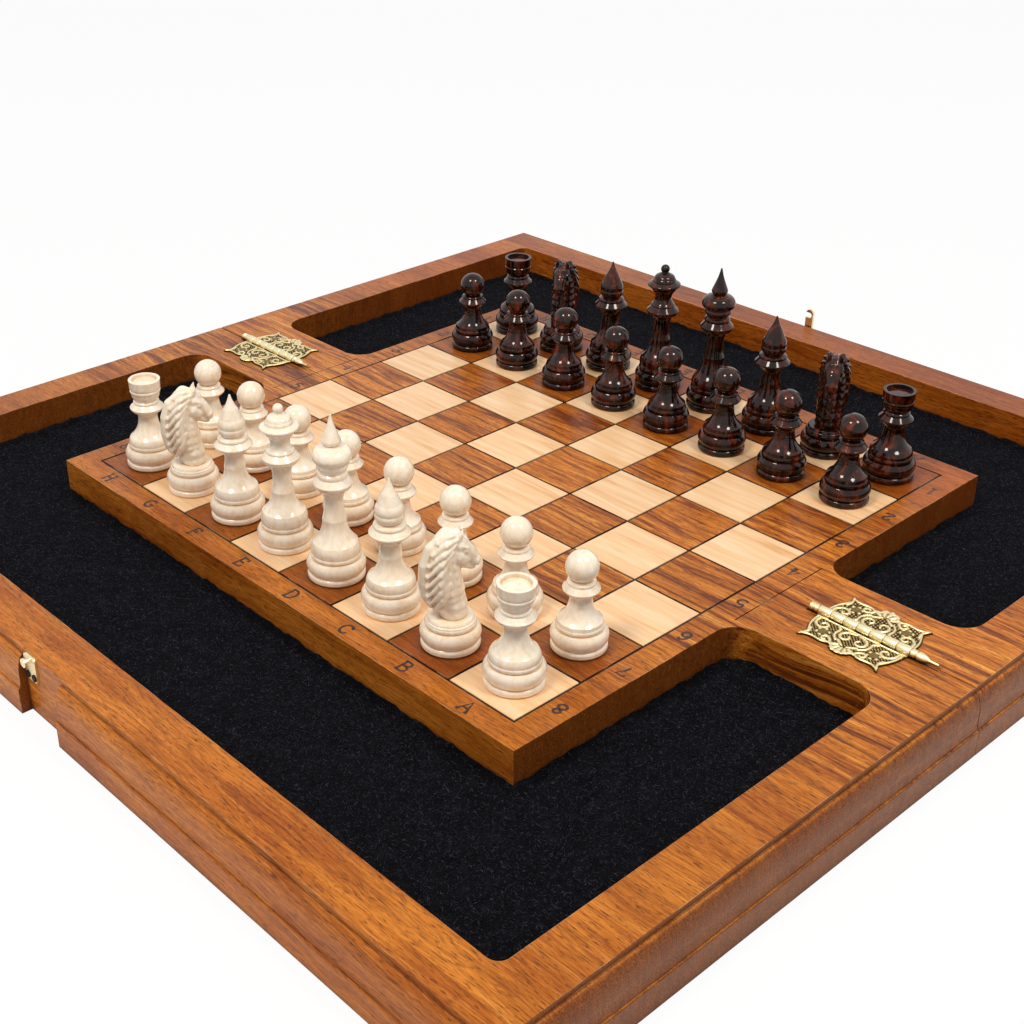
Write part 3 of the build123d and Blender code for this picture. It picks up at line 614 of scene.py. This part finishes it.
def make_signs(half, material):
    """Strokes as flattened tubes, half sunk in the border."""
    s = sizes()
    data = bpy.data.curves.new(f"{half}_signs", "CURVE")
    data.dimensions = "3D"
    data.bevel_depth = s.letter_stroke / 2
    data.bevel_resolution = 1
    data.use_fill_caps = True
    for sign, x, y, turn in signs_of(half):
        strokes = [np.array(stroke) / 100 for stroke in GLYPHS[sign]]
        width = max(stroke[:, 0].max() for stroke in strokes)
        c, d = math.cos(math.radians(turn)), math.sin(math.radians(turn))
        for stroke in strokes:
            # long strokes are the round ones
            line = stroke if len(stroke) < 6 else smooth_line(stroke, 3)
            spline = data.splines.new("POLY")
            spline.points.add(len(line) - 1)
            for point, (px, py) in zip(spline.points, line):
                u, v = (px - width / 2) * s.letter_height, (py - 0.5) * s.letter_height
                point.co = (x + c * u - d * v, y + d * u + c * v, 0.0, 1.0)
    piece = bake(put(f"{half}_signs", data))
    for vertex in piece.data.vertices:
        vertex.co.z = BOARD_TOP + vertex.co.z * 0.10
    dress(piece, material)
    return piece


# ---- hinges ----
AXIS, LEAF_BACK, LEAF_GROUND = 31.6, 30.02, 30.45  # heights of a hinge's parts, in mm
KNUCKLES, KNUCKLE_PITCH, KNUCKLE_GAP = 7, 6.1, 0.2
FLUTES = 6.6  # fluting of the shell, per radian
GROUND_PITCH, SCALE_PITCH = 1.95, 2.24  # lozenges and scales, radians to a mm
SCROLLS = [
    # centre lines of the leaf's scrolls in mm, mirrored about the hinge's middle
    [(4.2, 18.6), (7.4, 18.0), (9.4, 15.6), (8.6, 13.0), (6.4, 12.6), (5.6, 14.4), (6.8, 15.4)],
    [(16.8, 5.6), (14.6, 6.4), (13.2, 8.4), (14.4, 10.0), (16.0, 9.4), (15.8, 8.0)],
    [(4.0, 1.0), (5.2, 4.4), (7.8, 5.8), (10.0, 4.8), (10.2, 2.6), (8.6, 1.6), (7.2, 2.4)],
    [(12.6, 17.0), (14.6, 16.2), (16.6, 16.6), (18.2, 17.6)],
    [(4.0, 9.0), (5.6, 7.6), (8.4, 7.8), (10.8, 7.0), (12.8, 5.2)],
    [(12.2, 4.4), (13.4, 2.6), (14.4, 1.2)],
]


def leaf_line():
    """Outline of a cast leaf on the +X side of the fold, in mm from the hinge's middle."""
    corner = smooth_line([
        (2.5, 20.6), (5.2, 20.5), (8.2, 20.1), (11.2, 19.2), (13.8, 18.0), (15.6, 17.2),
        (17.2, 17.5), (18.8, 18.3), (19.9, 18.7), (19.6, 17.6), (18.6, 16.2), (17.9, 14.4),
        (17.9, 12.0), (18.2, 9.8), (18.0, 7.6), (17.2, 6.0), (17.4, 4.9)], 4)
    turn = np.radians(np.linspace(68, -68, 57))
    reach = 4.1 + 0.42 * np.abs(np.cos(FLUTES * turn))
    shell = np.column_stack([16.1 + reach * np.cos(turn), reach * np.sin(turn) * 1.15])
    return np.vstack([corner, shell, corner[::-1] * (1, -1)])


def leaf_height(xy, outline, side):
    """Height of the cast relief over the leaf's ground, as a share of the tallest."""
    x, y = xy.T
    mirrored = np.column_stack([x, np.abs(y)])
    edge = nearest_on_line(xy, outline)[0]
    rim = np.exp(-((edge - 0.72) / 0.46) ** 2)
    scrolls = np.zeros(len(xy))
    for line in SCROLLS:
        away, along, _ = nearest_on_line(mirrored, smooth_line(line, 6), closed=False)
        scrolls = np.maximum(scrolls, np.exp(-(away / (0.78 - 0.30 * along)) ** 2))
    # rosette with six petals round each screw
    dx, dy = x - SCREW_X, np.abs(y) - SCREW_Y
    r = np.hypot(dx, dy)
    petals = 0.5 + 0.5 * np.cos(6 * np.arctan2(dy, dx))
    rosette = np.exp(-((r - 2.5) / 0.75) ** 2) * (0.35 + 0.65 * petals)
    # fluted shell
    phi, reach = np.arctan2(y, x - 13.2), np.hypot(x - 13.2, y)
    shell = np.where((x > 13.6) & (np.abs(phi) < 1.2) & (reach > 1.6),
                     0.25 + 0.75 * np.abs(np.cos(FLUTES * phi)), 0.0)
    shell *= np.clip((reach - 1.6) / 1.6, 0, 1) * (np.abs(y) < 5.2)
    # raised lozenges on one leaf and scales on the other fill the ground
    if side == "white":
        ground = np.abs(np.sin(GROUND_PITCH * (x + y)) * np.sin(GROUND_PITCH * (x - y)))
    else:
        row = np.floor(y / 1.4) % 2
        ground = np.abs(np.sin(GROUND_PITCH * x + 1.57 * row)) * np.abs(np.sin(SCALE_PITCH * y))
    ground = ground ** 1.1 * 0.60 * (edge > 1.2) * (r > 3.3)
    top = np.maximum.reduce([rim, 0.95 * scrolls, 0.85 * rosette, shell, ground])
    return np.where(r < 1.5, 0.05, top)


def knuckle(start, length, radius=2.2, ease=0.28):
    """Eased barrel knuckle along Y in mm, from start, about the fold axis."""
    bevel = [(radius - ease, 0), (radius - 0.08, ease * 0.35), (radius, ease)]
    profile = [(0, 0), *bevel, (radius, length / 2),
               *((r, length - z) for r, z in reversed(bevel)), (0, length)]
    vertices, faces = lathe(profile, 32)
    return vertices[:, [1, 2, 0]] + (0, start, AXIS), faces


def make_leaf(side, end, material):
    """Cast leaf with its own knuckles, in metres at its place."""
    s = sizes()
    outline = leaf_line()
    parts = [relief_plate(
        outline, s.grid / MM,
        lambda xy: LEAF_GROUND + s.relief / MM * leaf_height(xy, outline, side), LEAF_BACK)]
    for i in range(0 if side == "white" else 1, KNUCKLES, 2):
        start = (i - KNUCKLES / 2) * KNUCKLE_PITCH + KNUCKLE_GAP / 2
        parts.append(knuckle(start, KNUCKLE_PITCH - KNUCKLE_GAP))
        # neck between the plate and the knuckle
        neck = [(x, start + y, z) for x in (0.9, 3.1) for y in (0.3, 5.6) for z in (30.04, 30.8)]
        parts.append((neck, [(0, 1, 3, 2), (4, 6, 7, 5), (0, 4, 5, 1), (2, 3, 7, 6),
                             (0, 2, 6, 4), (1, 5, 7, 3)]))
    vertices, faces = join_meshes(parts)
    if side == "white":
        vertices, faces = vertices * (-1, 1, 1), [face[::-1] for face in faces]
    vertices = vertices * MM + (0.0, ENDS[end] * HINGE_Y, 0.0)
    return new_piece(f"cast_leaf_{side}_{end}", vertices, faces, material)


def screw_tree(head, material):
    """Geometry Nodes that set a slotted screw head on every point, turned at random."""
    tree, ids, given = new_tree("screw heads", Head_size=("Float", 1.0), Seed=("Int", 3))
    shape = add(tree, "GeometryNodeObjectInfo", head, out="Geometry")
    turn = add(tree, "FunctionNodeRandomValue", data_type="FLOAT", Max_001=math.pi,
               Seed=given["Seed"], out=1)
    points = add(tree, "GeometryNodeMeshToPoints", given["Geometry"])
    set_on_points(tree, material, points, shape, add(tree, JOIN, Z=turn), given["Head size"])
    return tree, ids


def screw_head():
    """Domed head with a slot, radius 1.9 mm, standing 0.9 mm over z = 0."""
    vertices, faces = lathe([(0, -0.3), (1.72, -0.3), (1.88, 0.0), (1.86, 0.3), (1.6, 0.6),
                             (1.1, 0.8), (0.5, 0.88), (0, 0.9)], 24)
    x, y, z = vertices.T
    slot = np.clip(1 - (np.abs(y) / 0.36) ** 6, 0, 1) * (z > 0.4)
    return np.column_stack([x, y, z - 0.42 * slot]) * MM, faces


# ---- felt ----
def fibre_tree(material):
    """Geometry Nodes that strew straight fibres over a face, lying nearly flat."""
    tree, ids, given = new_tree(
        "felt pile", Density=("Float", 7000.0), Length=("Float", 2 * MM),
        Width=("Float", 0.1 * MM), Seed=("Int", 0))
    points = add(tree, "GeometryNodeDistributePointsOnFaces", given["Geometry"],
                 Density=given["Density"], Seed=given["Seed"])
    fibre = add(tree, "GeometryNodeMeshCone", 3, Radius_Top=0.0, Radius_Bottom=given["Width"],
                Depth=given["Length"], fill_type="NONE")
    tilt = add(tree, "FunctionNodeRandomValue", (math.radians(48), 0.0, 0.0),
               (math.radians(86), 0.0, 2 * math.pi), Seed=given["Seed"],
               data_type="FLOAT_VECTOR")
    size = add(tree, "FunctionNodeRandomValue", Min_001=0.45, Max_001=1.25, Seed=given["Seed"],
               data_type="FLOAT", out=1)
    set_on_points(tree, material, points, fibre, tilt, size)
    return tree, ids


def felt_line(side, inset=0.0):
    """Outline of a lining on one half, in metres, drawn in by inset."""
    low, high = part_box(f"{side}_felt")
    near, far = sorted((abs(low.x), abs(high.x)))
    near, far, along = near + inset, far - inset, high.y - inset
    board = BOARD + 0.15 * MM + inset
    line = np.array([(near, -along), (far, -along), (far, along), (near, along),
                     (near, board), (board, board), (board, -board), (near, -board)])
    out = []
    for i, radius_mm in enumerate((12, 5, 5, 12, 12, 0, 0, 12)):
        point, before, after = line[i], line[i - 1], line[(i + 1) % len(line)]
        a = (before - point) / np.linalg.norm(before - point)
        b = (after - point) / np.linalg.norm(after - point)
        # quarter round drawn as a quadratic through the corner
        out += [point + radius_mm * MM * (a * (1 - t) ** 2 + b * t**2) * 0.999
                for t in (np.linspace(0, 1, 7) if radius_mm else (0.0,))]
    return np.array(out) * SIDES[side]


def pile_height(xy, outline, phase):
    """Height of the cloth's top: slow waves, and the pile pushed up where it meets the walls."""
    x, y = xy.T
    waves = np.sin(x * 90 + phase[0]) * np.sin(y * 70 + phase[1])
    waves += 0.6 * np.sin(x * 210 + y * 130 + phase[2])
    tufts = (np.sin(x * 700 + y * 310) + np.sin(y * 930 - x * 420 + 1.0)
             + 0.8 * np.sin(x * 2300 + y * 1700 + 2.0))
    edge = nearest_on_line(xy, outline)[0] / (1.6 * MM)
    return FELT_TOP + MM * (0.2 * waves - 0.35 + np.exp(-edge**2) * (1.3 + 0.35 * tufts))


# ---- carved knights ----
HEAD = [
    # strings of spheres in mm above the board: points, radii there and flattening; a string
    # beside the middle has its like on the other side
    ([(0.9, 0, 15.6), (0.6, 0, 19.5)], [6.0, 6.2], 0.95),  # stem
    ([(-0.3, 0, 20), (-1.2, 0, 26), (-2.2, 0, 33), (-2.6, 0, 40), (-1.0, 0, 45.5)],
     [6.6, 7.0, 6.6, 6.0, 5.0], 0.86),  # neck
    ([(-5.0, 0, 23.5), (-5.2, 0, 30), (-5.0, 0, 37), (-3.6, 0, 43.5)],
     [4.6, 5.4, 5.2, 4.6], 0.80),  # nape
    ([(-0.6, 0, 46.0), (3.0, 0, 45.2), (6.6, 0, 41.6), (9.4, 0, 38.2)],
     [4.2, 4.2, 3.4, 2.7], 0.92),  # skull
    ([(2.2, 1.2, 41.0), (4.4, 1.0, 39.6)], [4.0, 3.4], 0.85),  # cheek
    ([(9.9, 0.9, 37.8), (10.2, 0.9, 36.9)], [1.9, 1.7], 1),  # muzzle
    ([(3.4, 3.3, 46.0), (5.6, 3.1, 44.9), (7.0, 2.5, 43.0)], [0.7, 0.8, 0.5], 1),  # brow
    ([(5.3, 3.0, 43.4)], [1.05], 1),  # eye
    ([(11.0, 1.5, 38.6)], [0.75], 1),  # nostril
    ([(2.6, 2.0, 48.2), (3.6, 2.4, 50.6), (4.3, 2.2, 53.0)], [1.5, 1.15, 0.3], 1),  # ear
    ([(4.6, 0, 37.2), (7.0, 0, 35.6), (8.9, 0, 34.4)], [2.6, 1.9, 1.5], 1),  # lower jaw
    ([(-3.4, 0, 49.0), (-8.2, 0, 44.6), (-10.3, 0, 37.5), (-10.7, 0, 30.0), (-9.9, 0, 24.0),
      (-7.6, 0, 18.8)], [1.3, 2.2, 2.5, 2.5, 2.2, 1.4], 1),  # smooth crest down the back
]
LOCKS = [
    # locks of the mane in mm, from the parting on the crest, back and down both sides
    [(2.8, 1.2, 49.4), (-1.5, 2.6, 50.2), (-5.6, 2.2, 47.4)],
    [(2.0, 2.6, 48.6), (-2.8, 4.2, 47.6), (-8.0, 3.0, 42.8)],
    [(0.8, 3.8, 46.8), (-4.0, 5.0, 44.0), (-9.4, 3.2, 38.2)],
    [(-0.4, 4.6, 44.6), (-5.0, 5.4, 40.0), (-10.1, 3.2, 33.6)],
    [(-1.4, 5.0, 42.0), (-5.4, 5.6, 35.6), (-10.3, 3.0, 29.0)],
    [(-2.0, 5.2, 39.0), (-5.6, 5.6, 31.6), (-9.9, 2.8, 24.8)],
    [(-2.2, 5.4, 35.4), (-5.4, 5.4, 27.8), (-9.0, 2.6, 21.4)],
    [(-2.0, 5.6, 31.4), (-4.6, 5.2, 24.4), (-7.4, 2.6, 18.8)],
    [(-5.6, 0.6, 48.0), (-9.0, 0.8, 43.4), (-10.5, 0.6, 37.0)],
    [(-10.2, 0.8, 38.0), (-10.7, 0.6, 31.0), (-10.0, 0.8, 25.0)],
    [(-10.0, 0.4, 27.0), (-9.4, 0.8, 22.0), (-7.4, 0.6, 18.4)],
    [(3.6, 0.6, 49.6), (5.6, 0.8, 47.0), (6.4, 0.5, 44.8)],
]


def knight_spheres():
    """(x, y, z, radius, flattening) in mm of the spheres whose union is the head, facing +X."""
    strings = [(points, radii, flat, 0.45) for points, radii, flat in HEAD]
    for lock in LOCKS:
        x, y, z = np.array(lock).T
        x, z = smooth_line(np.column_stack([x, z]), 5).T
        y = np.interp(np.linspace(0, 2, len(x)), [0, 1, 2], y)
        radii = np.interp(np.linspace(0, 1, len(x)), [0, 0.45, 1], [0.95, 1.55, 0.80])
        strings.append((np.column_stack([x, y, z]), radii, 1, 0.5))
    balls = []
    for points, radii, flat, step in strings:
        for mirror in (-1, 1) if points[0][1] else (1,):
            line = np.array(points, float) * (1, mirror, 1)
            for a, b, first, last in zip(line, line[1:], radii, radii[1:]):
                # neighbours are this share of the smaller radius apart
                count = max(1, int(np.linalg.norm(b - a) / (step * min(first, last))))
                balls += [(*(a * (1 - t) + b * t), first * (1 - t) + last * t, flat)
                          for t in np.linspace(0, 1, count, endpoint=False)]
            balls.append((*line[-1], radii[-1], flat))
    return balls


def carve_knight():
    """Remeshed union of the spheres, as (vertices in metres above the board, faces)."""
    shape = bmesh.new()
    for x, y, z, radius, flat in knight_spheres():
        placed = Matrix.Translation((x, y, z)) @ Matrix.Diagonal((1, flat, 1, 1))
        bmesh.ops.create_icosphere(shape, subdivisions=2 if radius > 1.6 else 1, radius=radius,
                                   matrix=placed)
    mesh = bpy.data.meshes.new("carving")
    shape.to_mesh(mesh)
    shape.free()
    block = put("carving", mesh)
    remesh = block.modifiers.new("Remesh", "REMESH")
    remesh.mode = "VOXEL"
    remesh.voxel_size = sizes().lock_grid / MM
    soften = block.modifiers.new("Soften", "SMOOTH")
    soften.factor = 0.5
    soften.iterations = 6
    block = bake(block)
    vertices = np.array([tuple(v.co) for v in block.data.vertices])
    faces = [tuple(p.vertices) for p in block.data.polygons]
    bpy.data.objects.remove(block)
    # the head is a little wider than its spheres, and cut flat just above the turned foot
    vertices[:, 1] *= 1.16
    vertices[:, 2] = np.maximum(vertices[:, 2], 13.95)
    return vertices * MM, faces


# ---- operators ----
class CHESSBOX_OT_wood(bpy.types.Operator):
    """Stain the rails, board and base, and lay the maple squares"""
    bl_idname = "chessbox.wood"
    bl_label = "Wood"

    def execute(self, context):
        finishes = {"deck": stained_beech("stained beech board"),
                    "base": stained_beech("stained beech base", board=False),
                    "light_squares": maple_square()}
        for side in SIDES:
            for node, material in finishes.items():
                dress(f"{side}_{node}", material)
        return {"FINISHED"}


class CHESSBOX_OT_signs(bpy.types.Operator):
    """Burn the letters and numbers into the border"""
    bl_idname = "chessbox.signs"
    bl_label = "Letters and Numbers"

    def execute(self, context):
        burnt = burnt_wood()
        for side in SIDES:
            piece = make_signs(side, burnt)
            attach(piece, f"{side}_half")
        return {"FINISHED"}


class CHESSBOX_OT_felt(bpy.types.Operator):
    """Line the wells with black felt and its pile"""
    bl_idname = "chessbox.felt"
    bl_label = "Felt"

    def execute(self, context):
        c, s = colours(), sizes()
        cloth = black_felt()
        pale = wool_fibre("pale wool fibre", c.felt_pale)
        dark = wool_fibre("black wool fibre", c.felt_dark)
        tree, ids = fibre_tree(dark)
        mesh_size = 3 * MM
        for seed, side in enumerate(SIDES):
            outline, pile_line = felt_line(side), felt_line(side, 0.35 * MM)
            phase = np.random.default_rng(seed).uniform(0, 6, 4)

            def top(xy):
                return pile_height(xy, outline, phase)

            lining = new_piece(f"{side}_felt_lining",
                               *relief_plate(outline, mesh_size, top, FELT_TOP - 1.6 * MM), cloth)
            vertices, faces = relief_plate(pile_line, mesh_size, top, 0.0)
            upper = len(vertices) // 2
            faces = [face for face in faces if max(face) < upper]
            fibres = []
            for kind, first_seed, share, material in (
                    ("pile", 11, 1.0, dark), ("pale_fibres", 31, 0.72, pale)):
                piece = new_piece(f"{side}_felt_{kind}", vertices[:upper], faces)
                piece = grow(piece, tree, ids, {
                    "Density": s.fibres_per_cm2 * share * 1e4, "Length": s.fibre_length,
                    "Width": s.fibre_width / 2, "Seed": first_seed + seed})
                dress(piece, material)
                fibres.append(piece)
            for piece in (lining, *fibres):
                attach(piece, f"{side}_half")
            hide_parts(f"{side}_felt")
        return {"FINISHED"}


class CHESSBOX_OT_hinges(bpy.types.Operator):
    """Cast the ornate leaves, with their knuckles, and set the screws"""
    bl_idname = "chessbox.hinges"
    bl_label = "Hinges"

    def execute(self, context):
        brass = antique_brass("cast antique brass", BOARD_TOP + 0.50 * MM, BOARD_TOP + 1.12 * MM)
        rod = antique_brass("rubbed antique brass", BOARD_TOP, BOARD_TOP + 2.6 * MM)
        head = new_piece("head", *screw_head(), rod)
        tree, ids = screw_tree(head, rod)
        for end in ENDS:
            dress(f"hinge_pin_{end}", rod)
        for side, sign in SIDES.items():
            for end in ENDS:
                leaf = make_leaf(side, end, brass)
                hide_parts(f"{side}_hinge_leaf_{end}")
                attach(leaf, f"{side}_half")
            places = [(sign * SCREW_X * MM, end * HINGE_Y + row * SCREW_Y * MM, BOARD_TOP)
                      for end in (-1, 1) for row in (-1, 1)]
            heads = grow(new_piece(f"{side}_screw_heads", places, []), tree, ids, {
                "Head size": 0.68, "Seed": {"white": 5, "black": 8}[side]})
            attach(heads, f"{side}_half")
            dress(f"{side}_screws", rod)
        bpy.data.objects.remove(head)
        return {"FINISHED"}


class CHESSBOX_OT_latch(bpy.types.Operator):
    """Finish the hook latch in antiqued brass"""
    bl_idname = "chessbox.latch"
    bl_label = "Latch"

    def execute(self, context):
        brass = antique_brass("pressed antique brass", BOARD_TOP - 22 * MM, BOARD_TOP - 8 * MM)
        for part in ("plate", "rivet", "hook", "keeper"):
            dress(f"latch_{part}", brass)
        return {"FINISHED"}


class CHESSBOX_OT_men(bpy.types.Operator):
    """Finish the turned men and carve the knights' heads"""
    bl_idname = "chessbox.men"
    bl_label = "Chessmen"

    def execute(self, context):
        finish = {"white": turned_boxwood(), "black": ebonised_wood()}
        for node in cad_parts:
            side, kind = node.split("_")[:2]
            if kind in ("pawn", "rook", "knight", "bishop", "queen", "king"):
                dress(node, finish[side])
        vertices, faces = carve_knight()
        for body, (squares_x, squares_y, heading) in KNIGHTS.items():
            turn = np.array(Matrix.Rotation(math.radians(heading), 3, "Z"))
            placed = vertices @ turn.T + (squares_x * SQUARE, squares_y * SQUARE, BOARD_TOP)
            side = body.split("_")[0]
            head = new_piece(f"carved_{body}", placed, faces, finish[side])
            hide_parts(f"{body}_head")
            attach(head, body)
        return {"FINISHED"}


class CHESSBOX_OT_stage(bpy.types.Operator):
    """Set the white sweep, the two softboxes and the camera"""
    bl_idname = "chessbox.stage"
    bl_label = "Stage"

    def execute(self, context):
        scene = context.scene
        # camera: place, tilt and lens worked out from the board's corners
        camera = put("camera", bpy.data.cameras.new("camera"))
        camera.data.sensor_width = 36.0
        camera.data.lens = 53.09
        camera.data.shift_x = 0.0747
        camera.data.shift_y = 0.0003
        camera.data.clip_start = 0.01
        azimuth, elevation, roll = (math.radians(turn) for turn in (-41.939, 28.990, -0.432))
        aim = Euler((math.pi / 2 - elevation, 0.0, azimuth)).to_matrix()
        aim = aim @ Matrix.Rotation(roll, 3, "Z")
        camera.matrix_world = Matrix.Translation((-0.46519, -0.45910, 0.36709)) @ aim.to_4x4()
        scene.camera = camera
        # floor, just under the box
        reach, low = 40.0, -0.2 * MM
        corners = [(-reach, -reach, low), (reach, -reach, low), (reach, reach, low),
                   (-reach, reach, low)]
        new_piece("studio_floor", corners, [(0, 1, 2, 3)], studio_sweep(), smooth=False)
        # two softboxes, one at either side of the camera
        width, distance = 0.30, 1.45
        for label, azimuth, height, power in (
                ("softbox_left", -92.0, 60.0, 9.2), ("softbox_right", 10.0, 58.0, 8.4)):
            lamp = put(label, bpy.data.lights.new(label, "AREA"))
            lamp.data.shape = "SQUARE"
            lamp.data.size = width
            lamp.data.energy = power
            lamp.data.color = linear("fff6ea")[:3]
            a, e = math.radians(azimuth), math.radians(height)
            back = Vector((math.sin(a) * math.cos(e), -math.cos(a) * math.cos(e), math.sin(e)))
            lamp.location = back * distance
            lamp.rotation_euler = back.to_track_quat("Z", "Y").to_euler()
        # soft white room, which shows as plain white behind the object and in its gloss
        world = scene.world = bpy.data.worlds.new("white room")
        world.use_nodes = True
        tree = world.node_tree
        tree.nodes.clear()
        rays = add(tree, RAYS, out=None).outputs
        seen = add(tree, "MAXIMUM", rays["Is Camera Ray"], add(
            tree, "MAXIMUM", rays["Is Glossy Ray"], rays["Is Transmission Ray"]))
        soft, white = (add(tree, "ShaderNodeBackground", colour, strength)
                       for colour, strength in ((linear("f4f7ff"), 0.50), (linear(1.0), 1.0)))
        add(tree, "ShaderNodeOutputWorld", add(tree, MERGE, seen, soft, white), out=None)
        scene.view_settings.view_transform = "Standard"
        return {"FINISHED"}


OPERATORS = (
    CHESSBOX_OT_stage, CHESSBOX_OT_wood, CHESSBOX_OT_signs, CHESSBOX_OT_felt,
    CHESSBOX_OT_hinges, CHESSBOX_OT_latch, CHESSBOX_OT_men,
)


class CHESSBOX_PT_panel(bpy.types.Panel):
    bl_idname = "CHESSBOX_PT_panel"
    bl_label = "Chess Box"
    bl_space_type = "VIEW_3D"
    bl_region_type = "UI"
    bl_category = "Chess Box"

    def draw(self, context):
        for group in (context.scene.chess_box_sizes, context.scene.chess_box_colours):
            box = self.layout.box()
            for key in group.__annotations__:
                box.prop(group, key)
        for operator in OPERATORS:
            self.layout.operator(operator.bl_idname)


CLASSES = (ChessBoxSizes, ChessBoxColours, *OPERATORS, CHESSBOX_PT_panel)


def register():
    for cls in CLASSES:
        bpy.utils.register_class(cls)
    bpy.types.Scene.chess_box_sizes = bpy.props.PointerProperty(type=ChessBoxSizes)
    bpy.types.Scene.chess_box_colours = bpy.props.PointerProperty(type=ChessBoxColours)


def unregister():
    del bpy.types.Scene.chess_box_colours
    del bpy.types.Scene.chess_box_sizes
    for cls in reversed(CLASSES):
        bpy.utils.unregister_class(cls)


def main():
    register()
    for operator in OPERATORS:
        group, name = operator.bl_idname.split(".")
        getattr(getattr(bpy.ops, group), name)()


if __name__ == "__main__":
    main()
